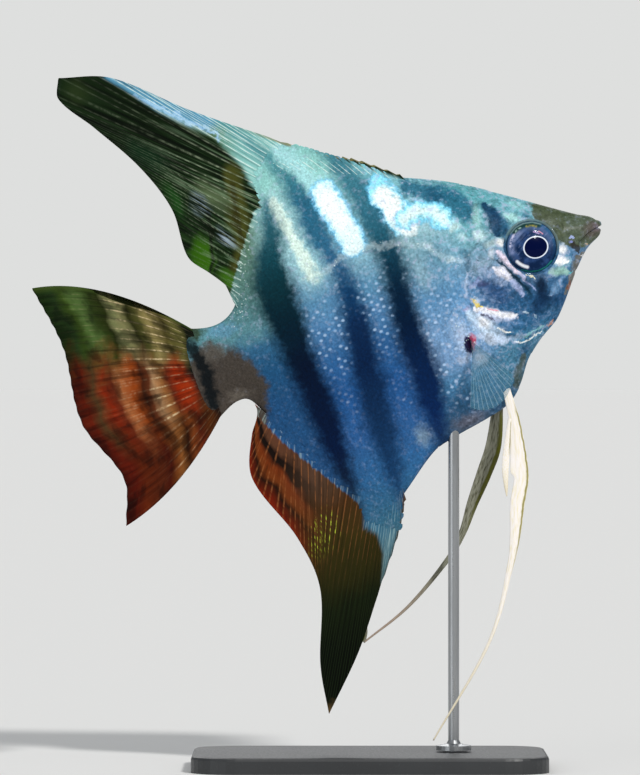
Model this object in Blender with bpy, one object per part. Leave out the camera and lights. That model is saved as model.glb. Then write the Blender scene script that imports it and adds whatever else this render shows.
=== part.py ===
"""Freshwater angelfish (Pterophyllum scalare): a still, life-size model on a rod and base.

Blender 4.5, metres, +Z up. The fish faces +X with its nose up, its right side towards -Y.
The origin is the centre of the base's underside.

Shapes on the fish are given in hundredths of the body length, in the fish's own frame:
  s  how far behind the mouth tip, along the body's axis
  h  how far above that axis
  y  how far to the fish's left
"""

import math

import bmesh
import bpy
from mathutils import Matrix, Vector

# ---------------------------------------------------------------- driving dimensions
BODY_LENGTH = 0.075  # mouth tip to the root of the tail fin
PITCH = math.radians(19)  # nose up
MOUTH = Vector((0.0414, 0, 0.0973))  # the mouth tip's place
GAP = 0.0003  # clearance between neighbouring pieces

BASE_SIZE = Vector((0.064, 0.042, 0.003))
BASE_CORNER = 0.008
BASE_CHAMFER = 0.0006
ROD_X = 0.0152  # the rod stands under the belly, between the pelvic and the anal fins
ROD_RADIUS = 0.001
ROD_TOP = 0.0652
FLANGE_RADIUS = 0.0032
FLANGE_HEIGHT = 0.0012
SOCKET_DEPTH = 0.002  # how far the rod's foot goes into the base

UNIT = BODY_LENGTH / 100
CLEAR = GAP / UNIT  # the clearance, in hundredths of the body length
FAR = 60  # past every surface of the body, for cutters

# ---------------------------------------------------------------- the body's outline
BACK = (  # (s, h)
    (-0.5, 2.0), (1, 3.7), (4, 5.4), (10, 9.4), (20, 16.2), (30, 22.4), (41, 27.4), (54, 32.7),
    (65, 36.7), (70, 35.4), (76, 29.6), (84, 18.6), (89, 11.0), (94, 8.4), (100, 9.2),
)  # fmt: skip
BELLY = (  # (s, h)
    (-0.5, -0.2), (1, -1.5), (4, -3.4), (8, -7.4), (16, -16.8), (21, -20), (26, -24), (30, -29.3),
    (34, -32.6), (40, -34.3), (49, -36), (55, -37.8), (66, -45.6), (69, -46.8), (74.5, -43), (87, -23.2),
    (90.7, -15), (92.8, -11.4), (96, -10.9), (100, -12.6),
)  # fmt: skip
HALF_WIDTH = (  # (s, y) of each side's widest line
    (-0.5, 1.2), (1.5, 2.4), (5, 3.7), (10, 5.1), (17, 6.6), (26, 7.8), (36, 8.0), (50, 7.4),
    (65, 5.9), (80, 4.0), (90, 2.9), (100, 1.5),
)  # fmt: skip
WIDEST_LEVEL = ((-0.5, 0.9), (8, 0.5), (20, -0.5), (36, 3), (55, 4), (75, 1), (90, -1.5), (100, -1.7))
KEEL_POWER = 1.25  # 1 makes each section an ellipse, and more thins its upper and lower edge

# ---------------------------------------------------------------- parting lines and plates
GILL_LINE = (  # (h, s)
    (-FAR, 22), (-24, 24.5), (-20.5, 28.5), (-15, 33.4), (-7, 36.2), (2, 36), (16, 32), (FAR, 28),
)  # fmt: skip
STEM_LINE = ((-FAR, 92), (0, 90.5), (FAR, 89.5))  # (h, s)
LINE_POINTS = 30
GILL_COVER = (  # (share, s, h) round the plate
    (0, 25.2, 0.2), (0.15, 30.6, 1.4), (0.27, 34.4, -1.8), (0.4, 35, -7.4), (0.54, 32, -13.6),
    (0.66, 27.8, -17.2), (0.76, 24, -17.6), (0.86, 22.2, -13), (0.94, 22.8, -5.5), (1, 25.2, 0.2),
)  # fmt: skip
COVER_POINTS = 26
GILL_COVER_DEPTH = 4.6  # y of the plate's inner face
MOUTH_LINE = ((-FAR, 0.4), (0, 0.2), (5.4, -1.6))
UPPER_JAW_TOP = (4.4, 9)
LOWER_JAW_CORNER = (8.4, -11)

EYE = (17, 1.2)
EYE_RADIUS = 6.2
EYE_DEPTH = 4.9  # y of the eyeball's centre
EYE_FLATNESS = 0.44  # its radius across the head, as a share of EYE_RADIUS
EYE_YAW = math.radians(9)  # the eye faces this far forward

# ---------------------------------------------------------------- fins
# A median fin is spread between a base line sunk in the body and its free edges. Its leading
# edge runs from the front of the base to the tip, and its trailing edge on to the base's rear.
DORSAL = {
    "base": ((0, 41, 25), (0.5, 65, 34), (0.75, 74.5, 28), (1, 88, 9)),
    "leading": (
        (0, 41, 28.2), (0.25, 50, 35.2), (0.5, 57, 39), (0.75, 68, 47), (0.86, 84, 59.4),
        (0.94, 99, 72.6), (1, 111.2, 76.8),
    ),
    "trailing": (
        (0, 111.2, 76.8), (0.06, 112.8, 72), (0.2, 107, 62.8), (0.42, 99.6, 50), (0.6, 95.6, 38),
        (0.78, 95.7, 26), (0.88, 92.2, 20.8), (0.95, 89.6, 17.6), (1, 88.8, 12),
    ),
    "spines": 11,
    "spiny": 0.5,
    "tip": 0.66,
    "rows": 44,
}
ANAL = {
    "base": ((0, 65, -43), (0.3, 68, -44), (0.55, 75, -40), (0.8, 85, -24), (1, 92, -12.8)),
    "leading": ((0, 65, -46.4), (0.3, 70, -54.5), (0.6, 79, -66), (0.8, 88, -77.6), (1, 99.4, -89.2)),
    "trailing": (
        (0, 99.4, -89.2), (0.2, 97.4, -77), (0.42, 91.6, -60), (0.6, 92.8, -46.5), (0.8, 98.4, -29.5),
        (0.92, 95, -19.5), (1, 91.6, -15.6),
    ),
    "spines": 6,
    "spiny": 0.3,
    "tip": 0.5,
    "rows": 40,
}
SPINE_STEP = 0.9  # how far each spine's tip stands past the membrane
TAIL_BASE = ((0, 100.4, 9.2), (1, 100.4, -12.6))
TAIL_EDGE = ((0, 133.6, 31), (0.3, 131.2, 15), (0.62, 132.8, -4), (0.84, 127.6, -19.5), (1, 130.8, -30.5))
TAIL_BULGE = ((0, 4.2), (1, -2.8))  # how far the outer rays bow away from a straight line
FIN_ROOT, FIN_EDGE = 0.62, 0.36  # half thicknesses

# A pelvic fin is a ribbon along (share of its length, s, h, y), with (share, half width)
RIGHT_PELVIC = (
    (0, 34, -29.5, -2.2), (0.12, 35.9, -41, -4.2), (0.25, 39.5, -52.4, -6), (0.45, 45.9, -68, -7.4),
    (0.7, 57, -84.4, -8.2), (1, 77.7, -102.9, -8),
)  # fmt: skip
LEFT_PELVIC = (
    (0, 36, -30.5, 2.2), (0.14, 41.4, -39.3, 4.6), (0.4, 53.6, -56.2, 6.4), (0.7, 72, -70.8, 7.4),
    (1, 88, -76.5, 7.6),
)  # fmt: skip
RIGHT_PELVIC_WIDTH = ((0, 1.3), (0.1, 2.4), (0.2, 3.4), (0.3, 2.3), (0.5, 1.3), (0.8, 0.6), (1, 0.36))
LEFT_PELVIC_WIDTH = ((0, 1.2), (0.15, 1.9), (0.35, 1.1), (0.6, 0.6), (1, 0.4))
PELVIC_THICKNESS = 0.36  # half
FILAMENT_START = 0.5  # the share of its length where a pelvic fin's trailing filament begins

PECTORAL_ROOT = Vector((38.5, -16.2, 7.5))  # s, h, y: just clear of the flank
PECTORAL_ROOT_HEIGHT = 3.2
PECTORAL_REACH = 20
PECTORAL_OUTWARD = math.radians(38)  # how far the fin stands off the flank
PECTORAL_SPREAD = (math.radians(-112), math.radians(-58))  # its rear and front rays, in the s-h plane


# ---------------------------------------------------------------- curves
def through(knots, x):
    """Reads a smooth curve through (x, value) knots at x."""
    last = len(knots) - 1
    i = min(max(sum(k[0] <= x for k in knots) - 1, 0), last - 1)

    def slope(k):
        (x0, value0), (x1, value1) = knots[max(k - 1, 0)], knots[min(k + 1, last)]
        return (value1 - value0) / (x1 - x0)

    (x0, start), (x1, end) = knots[i], knots[i + 1]
    span = x1 - x0
    t = min(max((x - x0) / span, 0), 1)
    ease = t * t * (3 - 2 * t)
    return start + (end - start) * ease + span * t * (1 - t) * ((1 - t) * slope(i) - t * slope(i + 1))


def along(knots, share):
    """Reads a smooth path through (share, coordinate, ...) knots at share."""
    return [through([(k[0], k[axis]) for k in knots], share) for axis in range(1, len(knots[0]))]


def in_fish(s, h, y=0):
    """A point of the fish's frame, in metres under the pose empty."""
    return Vector((-s, y, h)) * UNIT


# ---------------------------------------------------------------- object helpers
def make_pose():
    """The empty that carries the fish: it is at the mouth tip, pitched nose up."""
    pose = bpy.data.objects.new("fish_pose", None)
    bpy.context.scene.collection.objects.link(pose)
    pose.location = MOUTH
    pose.rotation_euler.y = -PITCH
    return pose


def make_material(name, colour, roughness, metallic=0):
    material = bpy.data.materials.new(name)
    material.use_nodes = True
    shader = material.node_tree.nodes["Principled BSDF"]
    shader.inputs["Base Color"].default_value = (*colour, 1)
    shader.inputs["Roughness"].default_value = roughness
    shader.inputs["Metallic"].default_value = metallic
    return material


def make_object(name, bm, material=None, parent=None):
    """Makes a linked object of a bmesh. One without a material is a cutter, which is left out."""
    bmesh.ops.recalc_face_normals(bm, faces=bm.faces)
    mesh = bpy.data.meshes.new(name)
    bm.to_mesh(mesh)
    bm.free()
    mesh.shade_smooth()
    mesh.set_sharp_from_angle(angle=math.radians(40))
    return link_object(name, mesh, material, parent)


def link_object(name, mesh, material, parent):
    obj = bpy.data.objects.new(name, mesh)
    bpy.context.scene.collection.objects.link(obj)
    obj.parent = parent
    if material:
        obj.data.materials.append(material)
    else:
        obj.hide_render = True
        obj.display_type = "WIRE"
    return obj


def combine(operation, obj, *others):
    for other in others:
        modifier = obj.modifiers.new(f"{operation.lower()}_{other.name}", "BOOLEAN")
        modifier.operation = operation
        modifier.object = other
        modifier.solver = "EXACT"


def wrapped_sheet(rows, columns, place):
    """A closed shape: place(row share, column) gives the points, and the columns run round it."""
    bm = bmesh.new()
    bmesh.ops.create_grid(bm, x_segments=rows, y_segments=columns, size=1)
    for vert in bm.verts:
        share = (vert.co.x + 1) / 2
        column = round((vert.co.y + 1) / 2 * columns) % columns
        vert.co = place(share, column)
    bmesh.ops.remove_doubles(bm, verts=bm.verts, dist=1e-7)
    bmesh.ops.holes_fill(bm, edges=bm.edges)
    return bm


def prism(name, outline, parent, low=-FAR, high=FAR):
    """A cutter with an (s, h) outline, from y = low to y = high."""
    bm = bmesh.new()
    face = bm.faces.new([bm.verts.new(in_fish(s, h, low)) for s, h in outline])
    side = bmesh.ops.extrude_face_region(bm, geom=[face])["geom"]
    moved = [v for v in side if isinstance(v, bmesh.types.BMVert)]
    bmesh.ops.translate(bm, verts=moved, vec=in_fish(0, 0, high - low))
    return make_object(name, bm, parent=parent)


# ---------------------------------------------------------------- the body
def skin_point(s, angle, grow=0):
    """A point of the body's skin. The angle starts at the widest line on the left and rises."""
    level = through(WIDEST_LEVEL, s)
    reach = through(BACK, s) - level if angle < math.pi else level - through(BELLY, s)
    side = math.copysign(abs(math.cos(angle)) ** KEEL_POWER, math.cos(angle))
    y = side * (through(HALF_WIDTH, s) + grow)
    return in_fish(s, level + math.sin(angle) * (reach + grow), y)


def make_body(name, parent, grow=0):
    """The body from mouth to tail root, with no fins. The sections lie closer near the mouth."""
    rows, columns = 38, 26

    def place(share, column):
        s = -0.5 + 100.5 * share**1.3
        return skin_point(s, 2 * math.pi * (column + 0.5) / columns, grow)

    return make_object(name, wrapped_sheet(rows, columns, place), parent=parent)


def parting_line(knots):
    """A smooth line down the body through (h, s) knots, as (s, h) points from the top."""
    low, high = knots[0][0], knots[-1][0]
    levels = [high + (low - high) * step / LINE_POINTS for step in range(LINE_POINTS + 1)]
    return [(through(knots, h), h) for h in levels]


def shifted(line, along_s=0, up=0):
    return [(s + along_s, h + up) for s, h in line]


def grown(outline, distance):
    """An outline moved outwards from its middle by about this distance."""
    corners = [Vector(corner) for corner in outline]
    middle = sum(corners, Vector((0, 0))) / len(corners)
    return [corner + (corner - middle).normalized() * distance for corner in corners]


def make_eye(name, side, parent, grow=0, material=None):
    bm = bmesh.new()
    bmesh.ops.create_uvsphere(bm, u_segments=20, v_segments=10, radius=1)
    radius, depth = EYE_RADIUS + grow, EYE_RADIUS * EYE_FLATNESS + grow
    bmesh.ops.rotate(bm, verts=bm.verts, matrix=Matrix.Rotation(math.pi / 2, 3, "X"))
    bmesh.ops.scale(bm, verts=bm.verts, vec=Vector((radius, depth, radius)) * UNIT)
    bmesh.ops.rotate(bm, verts=bm.verts, matrix=Matrix.Rotation(-side * EYE_YAW, 3, "Z"))
    bmesh.ops.translate(bm, verts=bm.verts, vec=in_fish(*EYE, side * EYE_DEPTH))
    return make_object(name, bm, material, parent)


def make_flesh(pose, body, rod_socket):
    """The head, jaws, gill covers, trunk and tail stem: the body, parted by thin cuts."""
    scales = make_material("scales", (0.1, 0.2, 0.32), 0.35)
    skin = make_material("bare_skin", (0.12, 0.2, 0.22), 0.4)
    plate = make_material("gill_plate", (0.3, 0.45, 0.6), 0.3)
    eye_finish = make_material("eye", (0.02, 0.04, 0.1), 0.08)
    half_cut = CLEAR * 0.6  # measured along s, so that a leaning cut keeps its clearance

    def region(name, front, back):
        return prism(name, [*front, *reversed(back)], pose)

    gill_line, stem_line = parting_line(GILL_LINE), parting_line(STEM_LINE)
    nose_end = ((-FAR, FAR), (-FAR, -FAR))
    tail_end = ((2 * FAR, FAR), (2 * FAR, -FAR))
    head_region = region("head_region", nose_end, shifted(gill_line, -half_cut))
    trunk_region = region("trunk_region", shifted(gill_line, half_cut), shifted(stem_line, -half_cut))
    stem_region = region("stem_region", shifted(stem_line, half_cut), tail_end)

    def piece(name, material, *kept):
        obj = link_object(name, body.data.copy(), material, pose)
        combine("INTERSECT", obj, *kept)
        return obj

    trunk = piece("trunk", scales, trunk_region)
    combine("DIFFERENCE", trunk, rod_socket)
    piece("tail_stem", skin, stem_region)
    head = piece("head", skin, head_region)

    upper_jaw = [*shifted(MOUTH_LINE, up=CLEAR / 2), UPPER_JAW_TOP, (-FAR, UPPER_JAW_TOP[1])]
    lower_jaw = [*shifted(MOUTH_LINE, up=-CLEAR / 2), LOWER_JAW_CORNER, (-FAR, LOWER_JAW_CORNER[1])]
    piece("upper_jaw", skin, prism("upper_jaw_region", upper_jaw, pose))
    piece("lower_jaw", skin, prism("lower_jaw_region", lower_jaw, pose))
    mouth = [UPPER_JAW_TOP, MOUTH_LINE[-1], LOWER_JAW_CORNER, lower_jaw[-1], upper_jaw[-1]]
    combine("DIFFERENCE", head, prism("mouth_region", shifted(mouth, CLEAR), pose))

    cover = [along(GILL_COVER, step / COVER_POINTS) for step in range(COVER_POINTS)]
    for name, side in (("left", 1), ("right", -1)):
        inner, outer = sorted((side * GILL_COVER_DEPTH, side * FAR))
        piece(f"gill_cover_{name}", plate, prism(f"cover_{name}", cover, pose, inner, outer))
        inner, outer = sorted((side * (GILL_COVER_DEPTH - CLEAR), side * FAR))
        seat = prism(f"cover_seat_{name}", grown(cover, CLEAR), pose, inner, outer)
        combine("DIFFERENCE", head, seat, make_eye(f"orbit_{name}", side, pose, grow=CLEAR))
        combine("DIFFERENCE", trunk, seat)
        make_eye(f"eye_{name}", side, pose, material=eye_finish)


# ---------------------------------------------------------------- fins
def sheet_fin(name, rows, base, edge, bow, material, parent, near_body):
    """A fin spread from base(share) to edge(share), with its rays moved by bow(share, v) between."""
    steps = 4  # from the base to the free edge
    columns = 2 * (steps + 1)

    def place(share, column):
        step = min(column, columns - 1 - column)
        side = 1 if column <= steps else -1
        v = step / steps
        s, h = Vector(base(share)).lerp(Vector(edge(share)), v) + Vector(bow(share, v))
        return in_fish(s, h, side * (FIN_ROOT + (FIN_EDGE - FIN_ROOT) * v))

    fin = make_object(name, wrapped_sheet(rows, columns, place), material, parent)
    combine("DIFFERENCE", fin, near_body)
    return fin


def make_median_fin(name, shape, material, parent, near_body):
    tip, spiny, spines = shape["tip"], shape["spiny"], shape["spines"]

    def edge(share):
        """The free edge, with a step back between the spines."""
        if share > tip:
            return along(shape["trailing"], (share - tip) / (1 - tip))
        s, h = along(shape["leading"], share / tip)
        between = 1 - abs(share / spiny * spines % 1 * 2 - 1) if share < spiny else 0
        ray = Vector((s, h)) - Vector(base(share))
        return Vector((s, h)) - ray.normalized() * SPINE_STEP * between

    def base(share):
        return along(shape["base"], share)

    sheet_fin(name, shape["rows"], base, edge, lambda share, v: (0, 0), material, parent, near_body)


def make_tail_fin(material, parent, near_body):
    def base(share):
        return along(TAIL_BASE, share)

    def edge(share):
        return along(TAIL_EDGE, share)

    def bow(share, v):
        return 0, through(TAIL_BULGE, share) * 4 * v * (1 - v)

    sheet_fin("tail_fin", 20, base, edge, bow, material, parent, near_body)


def make_pelvic_length(name, path, widths, start, end, rows, material, parent, near_body):
    """One length of a pelvic fin, a ribbon of oval section."""
    columns = 8

    def place(share, column):
        t = start + (end - start) * share
        s, h, y = along(path, t)
        ahead = Vector(along(path, min(t + 0.01, 1))) - Vector(along(path, max(t - 0.01, 0)))
        across = Vector((ahead[1], -ahead[0])).normalized()
        angle = 2 * math.pi * (column + 0.5) / columns
        wide = through(widths, t) * math.cos(angle)
        return in_fish(s + across.x * wide, h + across.y * wide, y + PELVIC_THICKNESS * math.sin(angle))

    length = make_object(name, wrapped_sheet(rows, columns, place), material, parent)
    if start == 0:
        combine("DIFFERENCE", length, near_body)


def make_pelvic_fin(name, path, widths, material, parent, near_body):
    length = math.dist(path[0][1:], path[-1][1:])
    lengths = {
        "fin": (0, FILAMENT_START, 16),
        "filament": (FILAMENT_START + CLEAR / length, 1, 14),
    }
    for part, (start, end, rows) in lengths.items():
        node = f"pelvic_{part}_{name}"
        make_pelvic_length(node, path, widths, start, end, rows, material, parent, near_body)


def make_pectoral_fin(name, side, material, parent):
    """A small fan that stands off the flank, its rays spread from a short upright root."""
    rows, steps = 10, 4
    columns = 2 * (steps + 1)

    def place(share, column):
        step = min(column, columns - 1 - column)
        face = 1 if column <= steps else -1
        v = step / steps
        angle = PECTORAL_SPREAD[0] + (PECTORAL_SPREAD[1] - PECTORAL_SPREAD[0]) * share
        reach = v * PECTORAL_REACH * (0.86 + 0.14 * math.sin(math.pi * share))
        root = PECTORAL_ROOT + Vector((0, (share - 0.5) * PECTORAL_ROOT_HEIGHT, 0))
        s = root.x - math.cos(angle) * reach * math.cos(PECTORAL_OUTWARD)
        h = root.y + math.sin(angle) * reach * math.cos(PECTORAL_OUTWARD)
        y = root.z + math.sin(PECTORAL_OUTWARD) * reach
        off = Vector((0, math.sin(PECTORAL_OUTWARD), math.cos(PECTORAL_OUTWARD))) * face * FIN_EDGE
        return in_fish(s, h + off.y, side * (y + off.z))

    make_object(f"pectoral_fin_{name}", wrapped_sheet(rows, columns, place), material, parent)


def make_fins(pose, near_body):
    dorsal = make_material("dorsal_fin", (0.09, 0.16, 0.08), 0.45)
    rust = make_material("rust_fins", (0.12, 0.04, 0.015), 0.45)
    pale = make_material("pale_fins", (0.75, 0.74, 0.66), 0.4)
    clear = make_material("clear_fins", (0.45, 0.62, 0.62), 0.35)
    make_median_fin("dorsal_fin", DORSAL, dorsal, pose, near_body)
    make_median_fin("anal_fin", ANAL, rust, pose, near_body)
    make_tail_fin(rust, pose, near_body)
    make_pelvic_fin("right", RIGHT_PELVIC, RIGHT_PELVIC_WIDTH, pale, pose, near_body)
    make_pelvic_fin("left", LEFT_PELVIC, LEFT_PELVIC_WIDTH, pale, pose, near_body)
    make_pectoral_fin("right", -1, clear, pose)
    make_pectoral_fin("left", 1, clear, pose)


# ---------------------------------------------------------------- the stand
def turned(name, profile, material=None, parent=None):
    """A turned piece about the rod's axis, from (radius, z) points of which the ends are on the axis."""
    bm = bmesh.new()
    verts = [bm.verts.new((radius, 0, z)) for radius, z in profile]
    edges = [bm.edges.new(pair) for pair in zip(verts, verts[1:])]
    bmesh.ops.spin(bm, geom=verts + edges, cent=(0, 0, 0), axis=(0, 0, 1), angle=2 * math.pi,
                   steps=24, use_merge=True)  # fmt: skip
    bmesh.ops.remove_doubles(bm, verts=bm.verts, dist=1e-6)
    bmesh.ops.translate(bm, verts=bm.verts, vec=(ROD_X, 0, 0))
    return make_object(name, bm, material, parent)


def make_rod(name, grow=0, material=None):
    """The rod, its flange and its foot in the base. Grown, it is the cutter for its sockets."""
    radius, flange = ROD_RADIUS + grow, FLANGE_RADIUS
    rest = BASE_SIZE.z + GAP
    round_end = ROD_RADIUS * 0.5
    top = ROD_TOP + grow
    profile = [(0, BASE_SIZE.z - SOCKET_DEPTH - grow), (radius, BASE_SIZE.z - SOCKET_DEPTH - grow)]
    if material:
        profile += [(radius, rest), (flange, rest), (flange, rest + FLANGE_HEIGHT * 0.7)]
        profile += [(radius * 1.3, rest + FLANGE_HEIGHT), (radius, rest + FLANGE_HEIGHT * 1.5)]
    profile += [(radius, top - round_end), (radius - round_end, top), (0, top)]
    return turned(name, profile, material)


def make_base(material, rod_socket):
    bm = bmesh.new()
    bmesh.ops.create_cube(bm, size=1)
    bmesh.ops.scale(bm, verts=bm.verts, vec=BASE_SIZE)
    bmesh.ops.translate(bm, verts=bm.verts, vec=(0, 0, BASE_SIZE.z / 2))
    upright = [e for e in bm.edges if abs(e.verts[0].co.z - e.verts[1].co.z) > BASE_SIZE.z / 2]
    rounding = {"profile": 0.5, "affect": "EDGES", "material": -1}
    bmesh.ops.bevel(bm, geom=upright, offset=BASE_CORNER, segments=8, **rounding)
    rim = [e for e in bm.edges if min(v.co.z for v in e.verts) > BASE_SIZE.z * 0.9]
    bmesh.ops.bevel(bm, geom=rim, offset=BASE_CHAMFER, segments=2, **rounding)
    base = make_object("stand_base", bm, material)
    combine("DIFFERENCE", base, rod_socket)


def main():
    for obj in list(bpy.data.objects):
        bpy.data.objects.remove(obj)
    pose = make_pose()
    rod_socket = make_rod("rod_socket", grow=GAP)
    make_base(make_material("base", (0.03, 0.032, 0.035), 0.4), rod_socket)
    make_rod("stand_rod", material=make_material("steel", (0.6, 0.6, 0.6), 0.3, metallic=1))
    make_flesh(pose, make_body("body", pose), rod_socket)
    make_fins(pose, make_body("body_and_clearance", pose, grow=CLEAR))


main()
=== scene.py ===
"""Freshwater angelfish (Pterophyllum scalare): the fine surface and the finishes of the life-size model.

Metres, +Z up. Shapes on the fish are given in hundredths of its body length, in its own frame:
  s  how far behind the mouth tip, along the body's axis
  h  how far above that axis
  y  how far to the fish's left
"""

import functools
import math
import random

import bmesh
import bpy
from mathutils import Matrix, Vector

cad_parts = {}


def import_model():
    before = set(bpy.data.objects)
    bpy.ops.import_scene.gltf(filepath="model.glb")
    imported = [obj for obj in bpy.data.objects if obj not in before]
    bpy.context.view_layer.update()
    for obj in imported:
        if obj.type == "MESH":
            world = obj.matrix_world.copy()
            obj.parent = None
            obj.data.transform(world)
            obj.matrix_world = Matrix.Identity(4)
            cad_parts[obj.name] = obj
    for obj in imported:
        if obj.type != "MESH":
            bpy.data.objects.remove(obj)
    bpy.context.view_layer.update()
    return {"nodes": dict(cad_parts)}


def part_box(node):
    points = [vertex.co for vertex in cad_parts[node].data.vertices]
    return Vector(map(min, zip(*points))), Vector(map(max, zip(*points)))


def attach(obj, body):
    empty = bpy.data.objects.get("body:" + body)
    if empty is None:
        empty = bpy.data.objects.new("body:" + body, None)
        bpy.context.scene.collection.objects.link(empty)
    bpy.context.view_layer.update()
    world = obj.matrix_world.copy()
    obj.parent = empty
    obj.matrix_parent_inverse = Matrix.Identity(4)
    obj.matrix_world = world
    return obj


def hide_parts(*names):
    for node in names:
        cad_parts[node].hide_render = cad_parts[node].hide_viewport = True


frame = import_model()

bl_info = {
    "name": "Angelfish display model",
    "version": (1, 0, 0),
    "blender": (4, 5, 0),
    "location": "View3D > Sidebar > Angelfish",
    "description": "Builds the skin, scales, eyes and fins of a life-size angelfish on its stand",
    "category": "Object",
}

# ---------------------------------------------------------------- the fish's own frame
PITCH = math.radians(19)  # nose up
REARWARD = Vector((-math.cos(PITCH), 0, -math.sin(PITCH)))
UPWARD = Vector((-math.sin(PITCH), 0, math.cos(PITCH)))
LEFTWARD = Vector((0, 1, 0))
SIDES = (("right", -1), ("left", 1))
EYE = (17, 1.2)
BODY_SPAN = 100.5  # from the lips to the tail's root
BODY_END = 104.5  # where the body's outline stops, inside the tail fin


def farthest(node, direction):
    return max(vert.co.dot(direction) for vert in frame["nodes"][node].data.vertices)


def middle(*nodes):
    corners = [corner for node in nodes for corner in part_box(node)]
    return sum(corners, Vector()) / len(corners)


UNIT = (farthest("tail_stem", REARWARD) + farthest("upper_jaw", -REARWARD)) / BODY_SPAN
MOUTH = middle("eye_left", "eye_right") - (REARWARD * EYE[0] + UPWARD * EYE[1]) * UNIT


def in_fish(s, h, y):
    """A point of the fish's frame, in metres."""
    return MOUTH + (REARWARD * s + UPWARD * h + LEFTWARD * y) * UNIT


# ---------------------------------------------------------------- the body's outline
BACK = (  # (s, h)
    (-0.5, 2.0), (1, 3.7), (4, 5.4), (10, 9.4), (20, 16.2), (30, 22.4), (41, 27.4), (54, 32.7), (65, 36.7),
    (70, 35.4), (76, 29.6), (84, 18.6), (89, 11.0), (94, 8.4), (100, 9.2), (104.5, 11.8),
)  # fmt: skip
BELLY = (  # (s, h)
    (-0.5, -0.2), (1, -1.5), (4, -3.4), (8, -7.4), (16, -16.8), (21, -20), (26, -24), (30, -29.3),
    (34, -32.6), (40, -34.3), (49, -36), (55, -37.8), (66, -45.6), (69, -46.8), (74.5, -43), (87, -23.2),
    (90.7, -15), (92.8, -11.4), (96, -10.9), (100, -12.6), (104.5, -15.4),
)  # fmt: skip
HALF_WIDTH = (  # (s, y) of each side's widest line
    (-0.5, 1.2), (1.5, 2.4), (5, 3.7), (10, 5.1), (17, 6.6), (26, 7.8), (36, 8.0), (50, 7.4), (65, 5.9),
    (80, 4.0), (90, 2.9), (100, 1.5), (104.5, 0.3),
)  # fmt: skip
WIDEST_LEVEL = ((-0.5, 0.9), (8, 0.5), (20, -0.5), (36, 3), (55, 4), (75, 1), (90, -1.5), (104.5, -1.7))
KEEL_POWER = 1.25  # 1 makes each section an ellipse, and more thins its upper and lower edge
SKIN_SUNK = 0.15  # the skin lies this far inside the solids, to leave room for the scales

MOUTH_CLEFT = ((-0.9, 0.3), (0.6, 0.2), (2.8, -0.4), (5.4, -1.7))
UPPER_LIP = ((-0.6, 1.4), (1.2, 1.5), (3.6, 0.7), (5.4, -0.5))
LOWER_LIP = ((-0.4, -0.8), (1.4, -1.3), (3.4, -2.1), (5.2, -3.0))
JAW_CREASE = ((6.9, 0.8), (7.9, -1.6), (7.6, -4.0), (8.8, -7.6))
CHEEK_BAND = ((25.0, 2.8), (23.7, 0.1), (22.5, -2.8), (21.3, -5.4), (19.7, -8.7))
CHEEK_GROOVE = ((25.8, 2.2), (24.6, -1.6), (23.0, -5.1), (21.2, -8.6))
CHEEK_RIDGE = ((26.7, -1.0), (25.4, -3.2), (24.3, -6.3), (23.1, -9.4), (23.6, -13.6))
COVER_EDGE = (  # round the rear of the gill cover, from its top
    (27.4, 1.9), (30.4, 1.7), (33.2, -1.6), (34.9, -5.4), (35.3, -8.6), (34.4, -11.6), (32.4, -14.4),
    (29.3, -17.0), (25.4, -18.4),
)  # fmt: skip
COVER_SEAM = ((34.9, -6.8), (31.8, -9.2), (28.8, -11.2), (25.6, -13.0))
GILL_RIM = ((36.6, -10.4), (34.9, -14.8), (32.0, -18.6), (27.6, -21.2))
THROAT_RIM = ((28.6, -19.0), (26.7, -19.8), (24.0, -19.8), (21.2, -19.0))
NOSTRIL = (9.3, 3.8)
PECTORAL_BASE = (38.6, -16.2)

# ---------------------------------------------------------------- fins
# A median fin is spread between a base line sunk in the body and its free edges. Its leading
# edge runs from the front of the base to the tip, and its trailing edge on to the base's rear.
DORSAL = {
    "base": (
        (0, 40, 26), (0.25, 49, 29.4), (0.5, 58, 32.8), (0.66, 69.5, 33.5), (0.75, 74.5, 28), (1, 88, 9),
    ),
    "leading": (
        (0, 41, 28.2), (0.25, 50, 35.2), (0.5, 57, 39), (0.75, 68, 47), (0.86, 84, 59.4), (0.94, 99, 72.6),
        (1, 111.2, 76.8),
    ),
    "trailing": (
        (0, 111.2, 76.8), (0.06, 112.8, 72), (0.2, 107, 62.8), (0.42, 99.6, 50), (0.6, 95.6, 38),
        (0.78, 95.7, 26), (0.88, 92.2, 20.8), (0.95, 89.6, 17.6), (1, 88.8, 12),
    ),
    "spines": 11,
    "rays": 26,
    "spiny": 0.5,
    "tip": 0.66,
}  # fmt: skip
ANAL = {
    "base": ((0, 65, -43), (0.3, 68, -44), (0.55, 75, -40), (0.8, 85, -24), (1, 92, -12.8)),
    "leading": ((0, 65, -46.4), (0.3, 70, -54.5), (0.6, 79, -66), (0.8, 88, -77.6), (1, 99.4, -89.2)),
    "trailing": (
        (0, 99.4, -89.2), (0.2, 97.4, -77), (0.42, 91.6, -60), (0.6, 92.8, -46.5), (0.8, 98.4, -29.5),
        (0.92, 95, -19.5), (1, 91.6, -15.6),
    ),
    "spines": 6,
    "rays": 26,
    "spiny": 0.3,
    "tip": 0.5,
}  # fmt: skip
SPINE_STEP = 0.9  # how far each spine's tip stands past the membrane
TAIL_BASE = ((0, 100.4, 9.2), (1, 100.4, -12.6))
TAIL_EDGE = ((0, 133.6, 31), (0.3, 131.2, 15), (0.62, 132.8, -4), (0.84, 127.6, -19.5), (1, 130.8, -30.5))
TAIL_BULGE = ((0, 4.2), (1, -2.8))  # how far the outer rays bow away from a straight line
TAIL_RAYS = 18
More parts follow.
